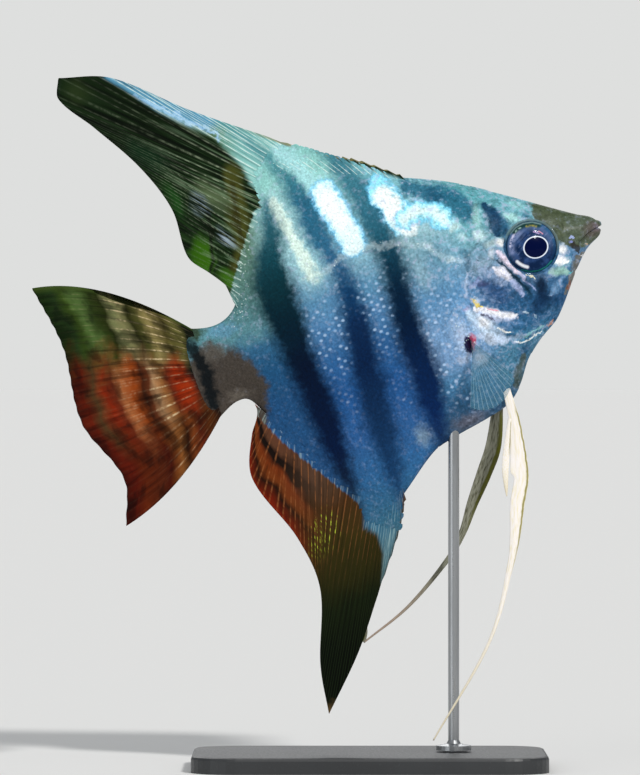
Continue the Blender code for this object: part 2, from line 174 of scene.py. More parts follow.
DORSAL_SHEATH = (  # where scales climb the dorsal fin, (s, h) round the patch
    (38, 20), (41.5, 27.4), (47, 31.4), (52, 35.0), (57, 38.6), (61, 42.0), (66, 46.6), (70, 51), (78, 57),
    (86, 63.6), (93, 69.6), (99, 74.6), (101, 73.4), (97.4, 69.4), (91.3, 61.4), (87.6, 57.6), (80.5, 50.7),
    (77.9, 45.3), (76.3, 42.1), (75.7, 37.3), (73.8, 34.0), (75.2, 30.9), (77.0, 27.0), (78.9, 23.3),
    (80.8, 21.9), (84.3, 18.0), (87.2, 13.8), (88, 5),
)  # fmt: skip
ANAL_SHEATH = (  # and where they climb the anal fin
    (62, -36), (64.6, -44.0), (68.2, -51.0), (72.4, -57.6), (77.2, -63.4), (74.6, -57.0), (74.4, -52.0),
    (77.0, -49.4), (74.6, -42.2), (74.4, -39.4), (78.0, -35.6), (78.8, -32.2), (85.2, -23.8), (91.4, -15.4),
    (90, -8),
)  # fmt: skip

# A pelvic fin is a ribbon along (share of its length, s, h, y), with (share, half width)
RIGHT_PELVIC = (
    (0, 33.6, -29, -2.2), (0.07, 34.4, -37.5, -3.6), (0.17, 36.9, -49.5, -5.2), (0.24, 40.2, -56, -6.2),
    (0.32, 43, -62.5, -6.9), (0.41, 46, -68.4, -7.4), (0.7, 57.4, -85, -8.2), (1, 77.7, -102.9, -8),
)  # fmt: skip
LEFT_PELVIC = (
    (0, 36, -30.5, 2.2), (0.14, 40.8, -41, 4.6), (0.24, 45.4, -47, 5.4), (0.34, 50.2, -52.7, 6),
    (0.44, 54.6, -58.4, 6.5), (0.54, 59.5, -63, 6.9), (0.76, 72.6, -71, 7.4), (1, 85.9, -75.9, 7.6),
)  # fmt: skip
RIGHT_PELVIC_WIDTH = (
    (0, 0.9), (0.07, 1.35), (0.13, 1.6), (0.18, 1.75), (0.24, 1.75), (0.32, 1.3), (0.42, 0.8), (0.6, 0.5),
    (0.8, 0.32), (1, 0.18),
)  # fmt: skip
LEFT_PELVIC_WIDTH = (
    (0, 1.2), (0.14, 1.9), (0.24, 1.8), (0.34, 1.35), (0.44, 0.9), (0.54, 0.65), (0.76, 0.38), (1, 0.2),
)  # fmt: skip
REAR_LOBE = ((0, 35.2, -36, -3.6), (0.35, 38.2, -42.5, -4.4), (0.65, 40.3, -47.5, -5.2), (1, 42, -53.4, -5.8))
REAR_LOBE_WIDTH = ((0, 0.4), (0.3, 0.75), (0.6, 0.85), (0.85, 0.5), (1, 0.12))
LEFT_BARB = ((0, 85.9, -75.8, 7.6), (0.5, 84.5, -73.8, 7.6), (1, 83.6, -71, 7.6))  # the short fork at its tip
LEFT_BARB_WIDTH = ((0, 0.45), (0.4, 0.3), (1, 0.12))

PECTORAL_ROOT = Vector((38.5, -16.2, 7.1))  # s, h, y
PECTORAL_ROOT_HEIGHT = 3.2
PECTORAL_REACH = 20
PECTORAL_ROUNDING = 0.14  # how much shorter its outermost rays are, as a share of that
PECTORAL_OUTWARD = math.radians(38)  # how far the fin stands off the flank
PECTORAL_SPREAD = (math.radians(-112), math.radians(-58))  # its rear and front rays, in the s-h plane
PECTORAL_RAYS = 12
PECTORAL_STEPS = 30  # mesh steps from its root to its edge
PECTORAL_WEB = 0.07  # half its web's thickness
PECTORAL_RAY, PECTORAL_MUSCLE = 0.12, 0.3  # and what its rays and its root add to that
PECTORAL_MUSCLE_END = 0.15  # the share of its reach that the thick root takes up


# ---------------------------------------------------------------- curves
def through(knots, x):
    """Reads a smooth curve through (x, value) knots at x."""
    last = len(knots) - 1
    i = min(max(sum(k[0] <= x for k in knots) - 1, 0), last - 1)

    def slope(k):
        (x0, value0), (x1, value1) = knots[max(k - 1, 0)], knots[min(k + 1, last)]
        return (value1 - value0) / (x1 - x0)

    (x0, start), (x1, end) = knots[i], knots[i + 1]
    span = x1 - x0
    t = min(max((x - x0) / span, 0), 1)
    blend = t * t * (3 - 2 * t)
    return start + (end - start) * blend + span * t * (1 - t) * ((1 - t) * slope(i) - t * slope(i + 1))


def along(knots, share):
    """Reads a smooth path through (share, coordinate, ...) knots at share."""
    return [through([(k[0], k[axis]) for k in knots], share) for axis in range(1, len(knots[0]))]


def smooth_path(points, steps=14):
    """A finer path through a few points."""
    last = len(points) - 1
    knots = [(k / last, *point) for k, point in enumerate(points)]
    return [tuple(along(knots, step / steps)) for step in range(steps + 1)]


def ease(x, start, end):
    """Goes smoothly from 0 at start to 1 at end."""
    t = min(max((x - start) / (end - start), 0), 1)
    return t * t * (3 - 2 * t)


def peak(x, width):
    return math.exp(-((x / width) ** 2))


def ring(away, radius, width, height):
    """The height, at a distance from a point or a line, of a ridge that stands at a radius from it."""
    return height * peak(away - radius, width)


def near(path, s, h):
    """The distance from (s, h) to a path, positive on the front side of one that runs down the fish."""
    best, side = 1e9, 1
    for (s0, h0), (s1, h1) in zip(path, path[1:]):
        ds, dh = s1 - s0, h1 - h0
        t = min(max(((s - s0) * ds + (h - h0) * dh) / (ds * ds + dh * dh), 0), 1)
        away = math.hypot(s - s0 - ds * t, h - h0 - dh * t)
        if away < best:
            best, side = away, math.copysign(1, dh * (s - s0) - ds * (h - h0))
    return best * side


def inside(outline, s, h):
    crossings = 0
    for (s0, h0), (s1, h1) in zip(outline, [*outline[1:], outline[0]]):
        if (h0 > h) != (h1 > h) and s < s0 + (s1 - s0) * (h - h0) / (h1 - h0):
            crossings += 1
    return crossings % 2 == 1


@functools.cache
def section(s):
    """The body's section at s: its widest level, back, belly and half width."""
    return through(WIDEST_LEVEL, s), through(BACK, s), through(BELLY, s), through(HALF_WIDTH, s)


def flank(s, h):
    """How far the body's surface stands from the midline at (s, h), or 0 outside the outline."""
    level, back, belly, wide = section(round(s, 2))
    rise = (h - level) / (back - level if h > level else level - belly)
    return wide * (1 - rise * rise) ** (KEEL_POWER / 2) if abs(rise) < 1 else 0


SHEATH_ROOT, SHEATH_FADE = 0.75, 4.0  # how much the fins thicken at the body, and how soon that fades
WEB = 0.16  # half the thickness of a fin's membrane


def sheath(s, h):
    """Half the thickness of a median fin at (s, h), from its thick root to its thin web."""
    _, back, belly, _ = section(round(min(s, 100), 1))
    outside = max(h - back, belly - h, 0)
    return WEB + SHEATH_ROOT * math.exp(-outside / SHEATH_FADE)


# ---------------------------------------------------------------- meshes
def wrapped_sheet(rows, columns, place, layer=None):
    """A closed shape: place(row share, column) gives the points, and the columns run round it.

    With a layer's name, place gives a second vector too, which that layer keeps for the finish.
    """
    bm = bmesh.new()
    kept = bm.verts.layers.float_vector.new(layer) if layer else None
    bmesh.ops.create_grid(bm, x_segments=rows, y_segments=columns, size=1)
    for vert in bm.verts:
        share = (vert.co.x + 1) / 2
        column = round((vert.co.y + 1) / 2 * columns) % columns
        if kept:
            vert.co, vert[kept] = place(share, column)
        else:
            vert.co = place(share, column)
    bmesh.ops.remove_doubles(bm, verts=bm.verts, dist=1e-7)
    bmesh.ops.holes_fill(bm, edges=bm.edges)
    bmesh.ops.recalc_face_normals(bm, faces=bm.faces)
    return bm


def add_piece(name, bm, material, replaced=()):
    """Makes a piece of a mesh that is already in place, riding on the part's one body."""
    mesh = bpy.data.meshes.new(name)
    bm.to_mesh(mesh)
    bm.free()
    mesh.shade_smooth()
    mesh.materials.append(material)
    piece = bpy.data.objects.new(name, mesh)
    bpy.context.scene.collection.objects.link(piece)
    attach(piece, "root")
    if replaced:
        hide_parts(*replaced)


# ---------------------------------------------------------------- shader maths
GLOSS = 0.04  # the specular level of skin, scales and fins


def tint(code):
    """A colour from its six-digit hex code."""
    channels = [int(code[i : i + 2], 16) / 255 for i in (0, 2, 4)]
    return (*(c / 12.92 if c <= 0.04045 else ((c + 0.055) / 1.055) ** 2.4 for c in channels), 1)


class Wire:
    """A node's output. Arithmetic on it adds Math nodes."""

    def __init__(self, board, socket):
        self.board = board
        self.socket = socket

    def call(self, operation, *others):
        return self.board.node("ShaderNodeMath", {"operation": operation}, (self, *others))

    def __add__(self, other):
        return self.call("ADD", other)

    def __sub__(self, other):
        return self.call("SUBTRACT", other)

    def __mul__(self, other):
        return self.call("MULTIPLY", other)

    def __truediv__(self, other):
        return self.call("DIVIDE", other)


class Board:
    """A material and the nodes that make it."""

    def __init__(self, name):
        self.material = bpy.data.materials.new(name)
        self.material.use_nodes = True
        self.tree = self.material.node_tree
        self.shader = self.tree.nodes["Principled BSDF"]

    def put(self, socket, value):
        if isinstance(value, Wire):
            self.tree.links.new(value.socket, socket)
        else:
            socket.default_value = tint(value) if isinstance(value, str) else value

    def node(self, kind, settings, inputs, output=0):
        made = self.tree.nodes.new(kind)
        for name, value in (settings or {}).items():
            if name == "stops":
                self.set_stops(made.color_ramp, value)
            elif name == "knots":
                self.set_knots(made.mapping, value)
            else:
                setattr(made, name, value)
        for key, value in inputs.items() if isinstance(inputs, dict) else enumerate(inputs):
            self.put(made.inputs[key], value)
        return Wire(self, made.outputs[output])

    def set_stops(self, ramp, stops):
        while len(ramp.elements) < len(stops):
            ramp.elements.new(1)
        for element, (position, colour) in zip(ramp.elements, stops):
            element.position = position
            element.color = tint(colour)

    def set_knots(self, mapping, knots):
        """Bends a curve through knots that run from 0 to 1."""
        line = mapping.curves[0]
        for knot in knots[1:-1]:
            line.points.new(*knot)
        line.points[0].location = knots[0]
        line.points[-1].location = knots[-1]
        mapping.update()

    def read(self, value, knots):
        """Reads a smooth curve through (value, result) knots."""
        first, last = knots[0][0], knots[-1][0]
        least, most = min(knot[1] for knot in knots), max(knot[1] for knot in knots)
        run, rise = last - first, most - least
        unit_knots = [((at - first) / run, (result - least) / rise) for at, result in knots]
        share = self.node("ShaderNodeMapRange", None, (value, first, last, 0, 1))
        return self.node("ShaderNodeFloatCurve", {"knots": unit_knots}, {"Value": share}) * rise + least

    def finish(self, **sockets):
        """Sets the surface's sockets, which are named with _ for each space."""
        for name, value in sockets.items():
            self.put(self.shader.inputs[name.replace("_", " ")], value)
        return self.material

    def wet_finish(self, colour, roughness, normal, wetness, film_roughness=0.2):
        """The dull surface of skin, scales and fins, under its thin wet film."""
        return self.finish(
            Base_Color=colour,
            Roughness=roughness,
            Specular_IOR_Level=GLOSS,
            Normal=normal,
            Coat_Weight=wetness,
            Coat_Roughness=film_roughness,
        )

    def mix(self, share, first, second):
        """Goes from the first colour to the second, which may be hex codes, as share goes from 0 to 1."""
        return self.node("ShaderNodeMix", {"data_type": "RGBA"}, {0: share, 6: first, 7: second}, 2)

    def times(self, colour, tone):
        """A colour multiplied by a number of any size."""
        tones = {0: 1, 6: colour, 7: (tone, tone, tone, 1)}
        return self.node("ShaderNodeMix", {"data_type": "RGBA", "blend_type": "MULTIPLY"}, tones, 2)

    def light(self, colour):
        return self.node("ShaderNodeRGBToBW", None, (colour,))

    def fade(self, value, start, end, low=0, high=1):
        """Goes smoothly from low at start to high at end."""
        inputs = (value, start, end, low, high)
        return self.node("ShaderNodeMapRange", {"interpolation_type": "SMOOTHSTEP"}, inputs)

    def vector(self, operation, *values):
        return self.node("ShaderNodeVectorMath", {"operation": operation}, values)

    def dot(self, vector, axis):
        inputs = (vector, (*axis, 0))
        return self.node("ShaderNodeVectorMath", {"operation": "DOT_PRODUCT"}, inputs, "Value")

    def length(self, vector):
        return self.node("ShaderNodeVectorMath", {"operation": "LENGTH"}, (vector,), "Value")

    def joined(self, x, y, z=0):
        return self.node("ShaderNodeCombineXYZ", None, (x, y, z))

    def outputs(self, kind, value):
        first = self.node(kind, None, (value,))
        return [Wire(self, socket) for socket in first.socket.node.outputs]

    def parts(self, vector):
        return self.outputs("ShaderNodeSeparateXYZ", vector)

    def noise(self, place, scale, detail=2.0):
        inputs = {"Vector": place, "Scale": scale, "Detail": detail}
        return self.node("ShaderNodeTexNoise", None, inputs)

    def drift(self, place, scale, detail, roughness=0.5):
        """Two offsets that wander over the surface, of about -0.25 to 0.25."""
        inputs = {"Vector": place, "Scale": scale, "Detail": detail, "Roughness": roughness}
        colour = self.node("ShaderNodeTexNoise", None, inputs, "Color")
        first, second, _ = self.outputs("ShaderNodeSeparateColor", colour)
        return first - 0.5, second - 0.5

    def cells(self, place, scale):
        """The distance to the nearest of many scattered points."""
        return self.node("ShaderNodeTexVoronoi", None, {"Vector": place, "Scale": scale}, "Distance")

    def bump(self, height, distance, strength):
        inputs = {"Height": height, "Distance": distance, "Strength": strength}
        return self.node("ShaderNodeBump", None, inputs)

    def named(self, attribute):
        return self.node("ShaderNodeAttribute", {"attribute_name": attribute}, (), "Vector")

    def fish_place(self):
        """The place on the fish as s, y and h, and as one vector."""
        at = self.node("ShaderNodeTexCoord", None, (), "Object")
        turned = {"Location": MOUTH, "Rotation": (0, -PITCH, 0), "Scale": (-UNIT, UNIT, UNIT)}
        place = self.node("ShaderNodeMapping", {"vector_type": "TEXTURE"}, {"Vector": at, **turned})
        return (*self.parts(place), place)

    def oval(self, place, centre, size, turn, soft):
        """1 inside an oval patch of the (s, h) plane, falling to 0 over the soft share of its size."""
        away = self.vector("SUBTRACT", place, (*centre, 0))
        along, across = Matrix.Rotation(math.radians(turn), 2).transposed()
        shares = [self.dot(away, axis / half) for axis, half in zip((along, across), size)]
        return self.fade(self.length(self.joined(*shares)), 1, 1 - soft)

    def stroke(self, place, path, width, soft, taper=0):
        """1 along a path of the (s, h) plane, falling to 0 at the width on each side of it.

        With a taper it falls to 0 nearer the path at the path's ends.
        """
        nearest = None
        for start, end in zip(path, path[1:]):
            run = Vector((end[0] - start[0], end[1] - start[1], 0))
            ahead = self.vector("SUBTRACT", place, (*start, 0))
            share = self.node("ShaderNodeClamp", None, (self.dot(ahead, run.xy / run.length_squared), 0, 1))
            foot = self.node("ShaderNodeVectorMath", {"operation": "SCALE"}, {0: run, "Scale": share})
            away = self.length(self.vector("SUBTRACT", ahead, foot))
            nearest = away if nearest is None else nearest.call("MINIMUM", away)
        if taper:
            first, last = Vector(path[0]), Vector(path[-1])
            from_middle = self.length(self.vector("SUBTRACT", place, (*(first + last) / 2, 0)))
            share = from_middle / ((last - first).length / 2)
            nearest = nearest * (share * share * share * share * taper + 1)
        return self.fade(nearest, width, width * (1 - soft))


# ---------------------------------------------------------------- the markings
# Ground colours from the belly up, as (h, colour), for each zone along the fish
LOWEST, HIGHEST = -60, 84
HEAD_GROUND = (
    (-26, "33607e"), (-20, "4f86a4"), (-16, "2f648c"), (-10, "2c5c86"), (-4, "5880a6"), (2, "7ba0bc"),
    (7, "6fa6b4"), (12, "6db0bc"), (18, "5fa6b0"), (28, "4f989e"),
)  # fmt: skip
FRONT_GROUND = (
    (-38, "4a6680"), (-29, "34658e"), (-23, "4e86b0"), (-17, "80a8d4"), (-10, "7aa6d2"), (-3, "6095c1"),
    (3, "72a2bf"), (10, "7fafbf"), (14, "9cc8d2"), (20, "92c8d2"), (30, "7fc0ca"), (46, "7ab4ae"),
    (84, "56848c"),
)  # fmt: skip
MIDDLE_GROUND = (
    (-60, "4c6c74"), (-50, "386a84"), (-40, "2f6494"), (-28, "2f609a"), (-18, "245894"), (-8, "32669c"),
    (0, "568ab8"), (6, "5c92b6"), (12, "8cbcce"), (18, "9accd6"), (26, "a4d6da"), (36, "92ccc6"),
    (48, "7cb8b4"), (84, "4f7f86"),
)  # fmt: skip
REAR_GROUND = (
    (-60, "2c4a5c"), (-36, "245080"), (-24, "255484"), (-14, "21507e"), (-6, "22557e"), (0, "34688c"),
    (4, "5a8c96"), (9, "548286"), (14, "567e78"), (22, "547664"), (34, "4f6e44"),
)  # fmt: skip
BARS = (  # the dark bars: (h, s of the middle), (h, half width) and (h, colour)
    (
        ((-60, 51), (-30, 52), (-20, 51), (-10, 51.2), (2, 50.5), (8, 49.9), (18, 50.5), (30, 52.5),
         (44, 58), (84, 96)),
        ((-60, -2), (-38, 0.4), (-30, 2.0), (-18, 3.1), (-4, 2.7), (6, 2.4), (18, 2.8), (30, 2.6),
         (42, 1.4), (84, 0)),
        ((-60, "3a5a74"), (-30, "06285a"), (-6, "001a38"), (4, "04263e"), (10, "123f54"), (16, "1f566a"),
         (22, "2f697e"), (32, "3c7888"), (84, "5a9c9c")),
    ),
    (
        ((-60, 66), (-26, 64.9), (-17, 64), (-8, 63.2), (2, 62.2), (10, 61.9), (19, 64), (31, 65.4),
         (44, 71), (84, 108)),
        ((-60, -2), (-44, 0.6), (-34, 2.0), (-18, 3.0), (-4, 2.8), (5, 2.0), (14, 1.8), (24, 2.7),
         (34, 2.0), (46, 0.5), (84, 0)),
        ((-60, "2c5070"), (-40, "143a62"), (-12, "052248"), (-2, "0a2c54"), (5, "12406a"), (12, "32648a"),
         (20, "2a6482"), (30, "28647e"), (38, "44848e"), (84, "5a9c9c")),
    ),
    (
        ((-60, 77), (-30, 76.8), (-14, 77.4), (-5, 78.2), (3, 78.3), (10, 78.6), (20, 76.9), (30, 74.3),
         (84, 74)),
        ((-60, -3), (-42, 0.2), (-33, 1.8), (-20, 2.9), (-6, 3.1), (3, 4.0), (10, 4.3), (20, 2.6),
         (31, 0.8), (38, -2), (84, -3)),
        ((-60, "1c2c34"), (-30, "02183c"), (-8, "01122c"), (4, "032230"), (12, "08303a"), (20, "0f424e"),
         (30, "2c6674"), (84, "4c8c90")),
    ),
)  # fmt: skip
BAR_SOFTNESS = 3.2
HEAD_TAPER = 1.1  # how much the strokes on the head narrow at their ends


def livery(board, place, head=False):
    """The fish's colours, on skin and scales alike: ground, bars, and the marks of its body and its head."""
    s, _, h = board.parts(place)
    wide_s, wide_h = board.drift(place, 0.2, 3.0)
    torn_s, torn_h = board.drift(place, 0.65, 5.0, 0.62)
    tear = board.fade(s + h * 0.35, 33, 38, 2.1, 4.0)
    at_s = s + wide_s * 2.4 + torn_s * tear
    at_h = h + wide_h * 2.4 + torn_h * tear
    flat = board.joined(at_s, at_h)
    level = (h + wide_h * 6 + torn_h * 4 - LOWEST) / (HIGHEST - LOWEST)

    def by_height(stops):
        positions = [((at - LOWEST) / (HIGHEST - LOWEST), code) for at, code in stops]
        return board.node("ShaderNodeValToRGB", {"stops": positions}, (level,))

    colour = board.mix(board.fade(at_s, 30, 37), by_height(HEAD_GROUND), by_height(FRONT_GROUND))
    colour = board.mix(board.fade(at_s, 48, 56), colour, by_height(MIDDLE_GROUND))
    colour = board.mix(board.fade(at_s, 74, 82), colour, by_height(REAR_GROUND))
    colour = paint(board, flat, colour, UNDER_BARS)
    for middles, widths, tones in BARS:
        off = (at_s - board.read(h, middles)).call("ABSOLUTE") - board.read(h, widths)
        bar = board.fade(off, BAR_SOFTNESS, -BAR_SOFTNESS / 2)
        colour = board.mix(bar, colour, by_height(tones))
    colour = paint(board, flat, colour, BODY_MARKS)
    return paint(board, flat, colour, HEAD_MARKS, HEAD_TAPER) if head else colour


def paint(board, flat, colour, marks, taper=0):
    """Lays marks over a colour: ovals as (colour, strength, soft share, centre, half size, turn in degrees),
    and strokes as (colour, strength, soft share, path, half width)."""
    for code, strength, soft, *shape in marks:
        if len(shape) == 3:
            mask = board.oval(flat, *shape, soft)
        else:
            mask = board.stroke(flat, *shape, soft, taper)
        colour = board.mix(mask * strength, colour, code)
    return colour


# paths of white patches that are painted highlights on the body
HIGHLIGHT_ABOVE_B = ((59.6, 29.5), (58.6, 25), (57.8, 20), (57.2, 15.8))
HIGHLIGHT_BEHIND_NAPE = ((47.0, 26.4), (45.6, 21.5), (44.2, 16.6))
HIGHLIGHT_OVER_CHEEK = ((43.4, 17.6), (40.6, 18.2), (37.2, 17.4), (34.6, 14.6))
HIGHLIGHT_BEFORE_D = ((72.0, 31), (70.8, 24), (69.8, 18), (68.8, 12))
NAPE_SADDLE = ((28.8, 14.4), (31.4, 18.6), (35.2, 21.6), (40.4, 24.2))
LATERAL_LINE = ((34.4, 3.2), (37.9, 6.3), (41.2, 9.9), (48.3, 12.8), (54.5, 13.9), (60.3, 13.4), (66, 11.8))
REAR_RIM = ((83.6, 25), (85.4, 17.5), (87.2, 11), (90.5, 7.6))

UNDER_BARS = (
    # the breast, the belly and the root of the pelvic fins
    ("4a82a0", 0.8, 0.8, (30, -24.5), (7, 5.5), -35),
    ("7a6f74", 0.55, 0.9, (44.5, -33.4), (6.5, 3.0), -5),
    ("a4bcc4", 0.45, 0.9, (56, -33), (3.4, 4.0), 0),
    # the light flank behind the gill cover
    ("bcd2f0", 0.75, 0.9, (39.5, -14), (3.2, 6.5), -6),
    ("dfeeff", 0.6, 0.9, (37.0, -20.6), (2.8, 3.2), 0),
    ("9fc4d2", 0.5, 0.9, (44.2, 4), (3.2, 7), 0),
    ("4f86a0", 0.5, 0.9, (38.6, 6.5), (3.0, 3.6), 0),
    # the pale patch in front of the rear bar, a painted highlight
    ("a9d4d8", 0.8, 0.8, HIGHLIGHT_BEFORE_D, 4.0),
    ("e2f8ec", 0.9, 0.8, HIGHLIGHT_BEFORE_D, 2.4),
)
BODY_MARKS = (
    ("1d6480", 0.9, 0.6, NAPE_SADDLE, 3.4),
    ("0b4566", 0.6, 0.8, (34.6, 20.6), (4.4, 2.2), 38),
    # white patches with vivid blue rims: painted highlights where the iridescent skin catches the light
    ("a8dce0", 0.8, 0.9, ((66.5, 43), (62.5, 36), (60.4, 30)), 3.4),
    ("5c9cc0", 0.85, 0.9, ((100, 72), (90, 62.6), (81, 55)), 4.5),
    ("2f6e90", 0.8, 0.9, ((97, 73), (88, 64)), 2.0),
    ("9cc8ec", 0.8, 0.8, ((95.4, 66.6), (86.6, 58.6), (79, 50.6)), 0.9),
    ("2aa6e8", 0.7, 0.4, HIGHLIGHT_ABOVE_B, 4.2),
    ("8fe4ff", 0.95, 0.4, HIGHLIGHT_ABOVE_B, 3.8),
    ("e8feff", 1.0, 0.5, HIGHLIGHT_ABOVE_B, 3.5),
    ("fbffff", 0.9, 0.9, ((59.4, 28.5), (58.0, 22)), 2.8),
    ("34b6f0", 0.7, 0.4, HIGHLIGHT_BEHIND_NAPE, 3.8),
    ("9cecff", 0.95, 0.4, HIGHLIGHT_BEHIND_NAPE, 3.4),
    ("f4ffff", 1.0, 0.6, ((46.4, 24.0), (45.2, 19.6), (43.4, 15.4)), 3.3),
    ("2fb4ec", 0.7, 0.4, HIGHLIGHT_OVER_CHEEK, 3.2),
    ("9ceeff", 0.95, 0.45, HIGHLIGHT_OVER_CHEEK, 2.8),
    ("e8ffff", 0.95, 0.9, HIGHLIGHT_OVER_CHEEK, 2.2),
    ("dff2f6", 0.25, 0.9, LATERAL_LINE, 1.3),
    # the tail stem and the bar at its end
    ("473f36", 0.97, 0.18, (99.4, -9.4), (12.6, 14.4), 0),
    ("7a7268", 0.5, 0.9, (94.5, -9.6), (4.6, 2.6), 10),
    ("70706a", 0.4, 0.9, (95.5, 2.2), (3.6, 2.0), 0),
    ("5f93ac", 0.85, 0.7, (93.5, 6.4), (5.6, 2.0), 4),
    ("2e3c22", 0.9, 0.7, (100.4, 8.2), (3.0, 2.6), 0),
    ("58544e", 0.85, 0.6, (98.2, 2.4), (4.2, 3.4), 0),
    ("0a1216", 0.95, 0.8, ((103.0, 6.2), (101.4, 4.0), (100.8, -0.4), (101.0, -4.8), (101.5, -9.8)), 2.4),
)
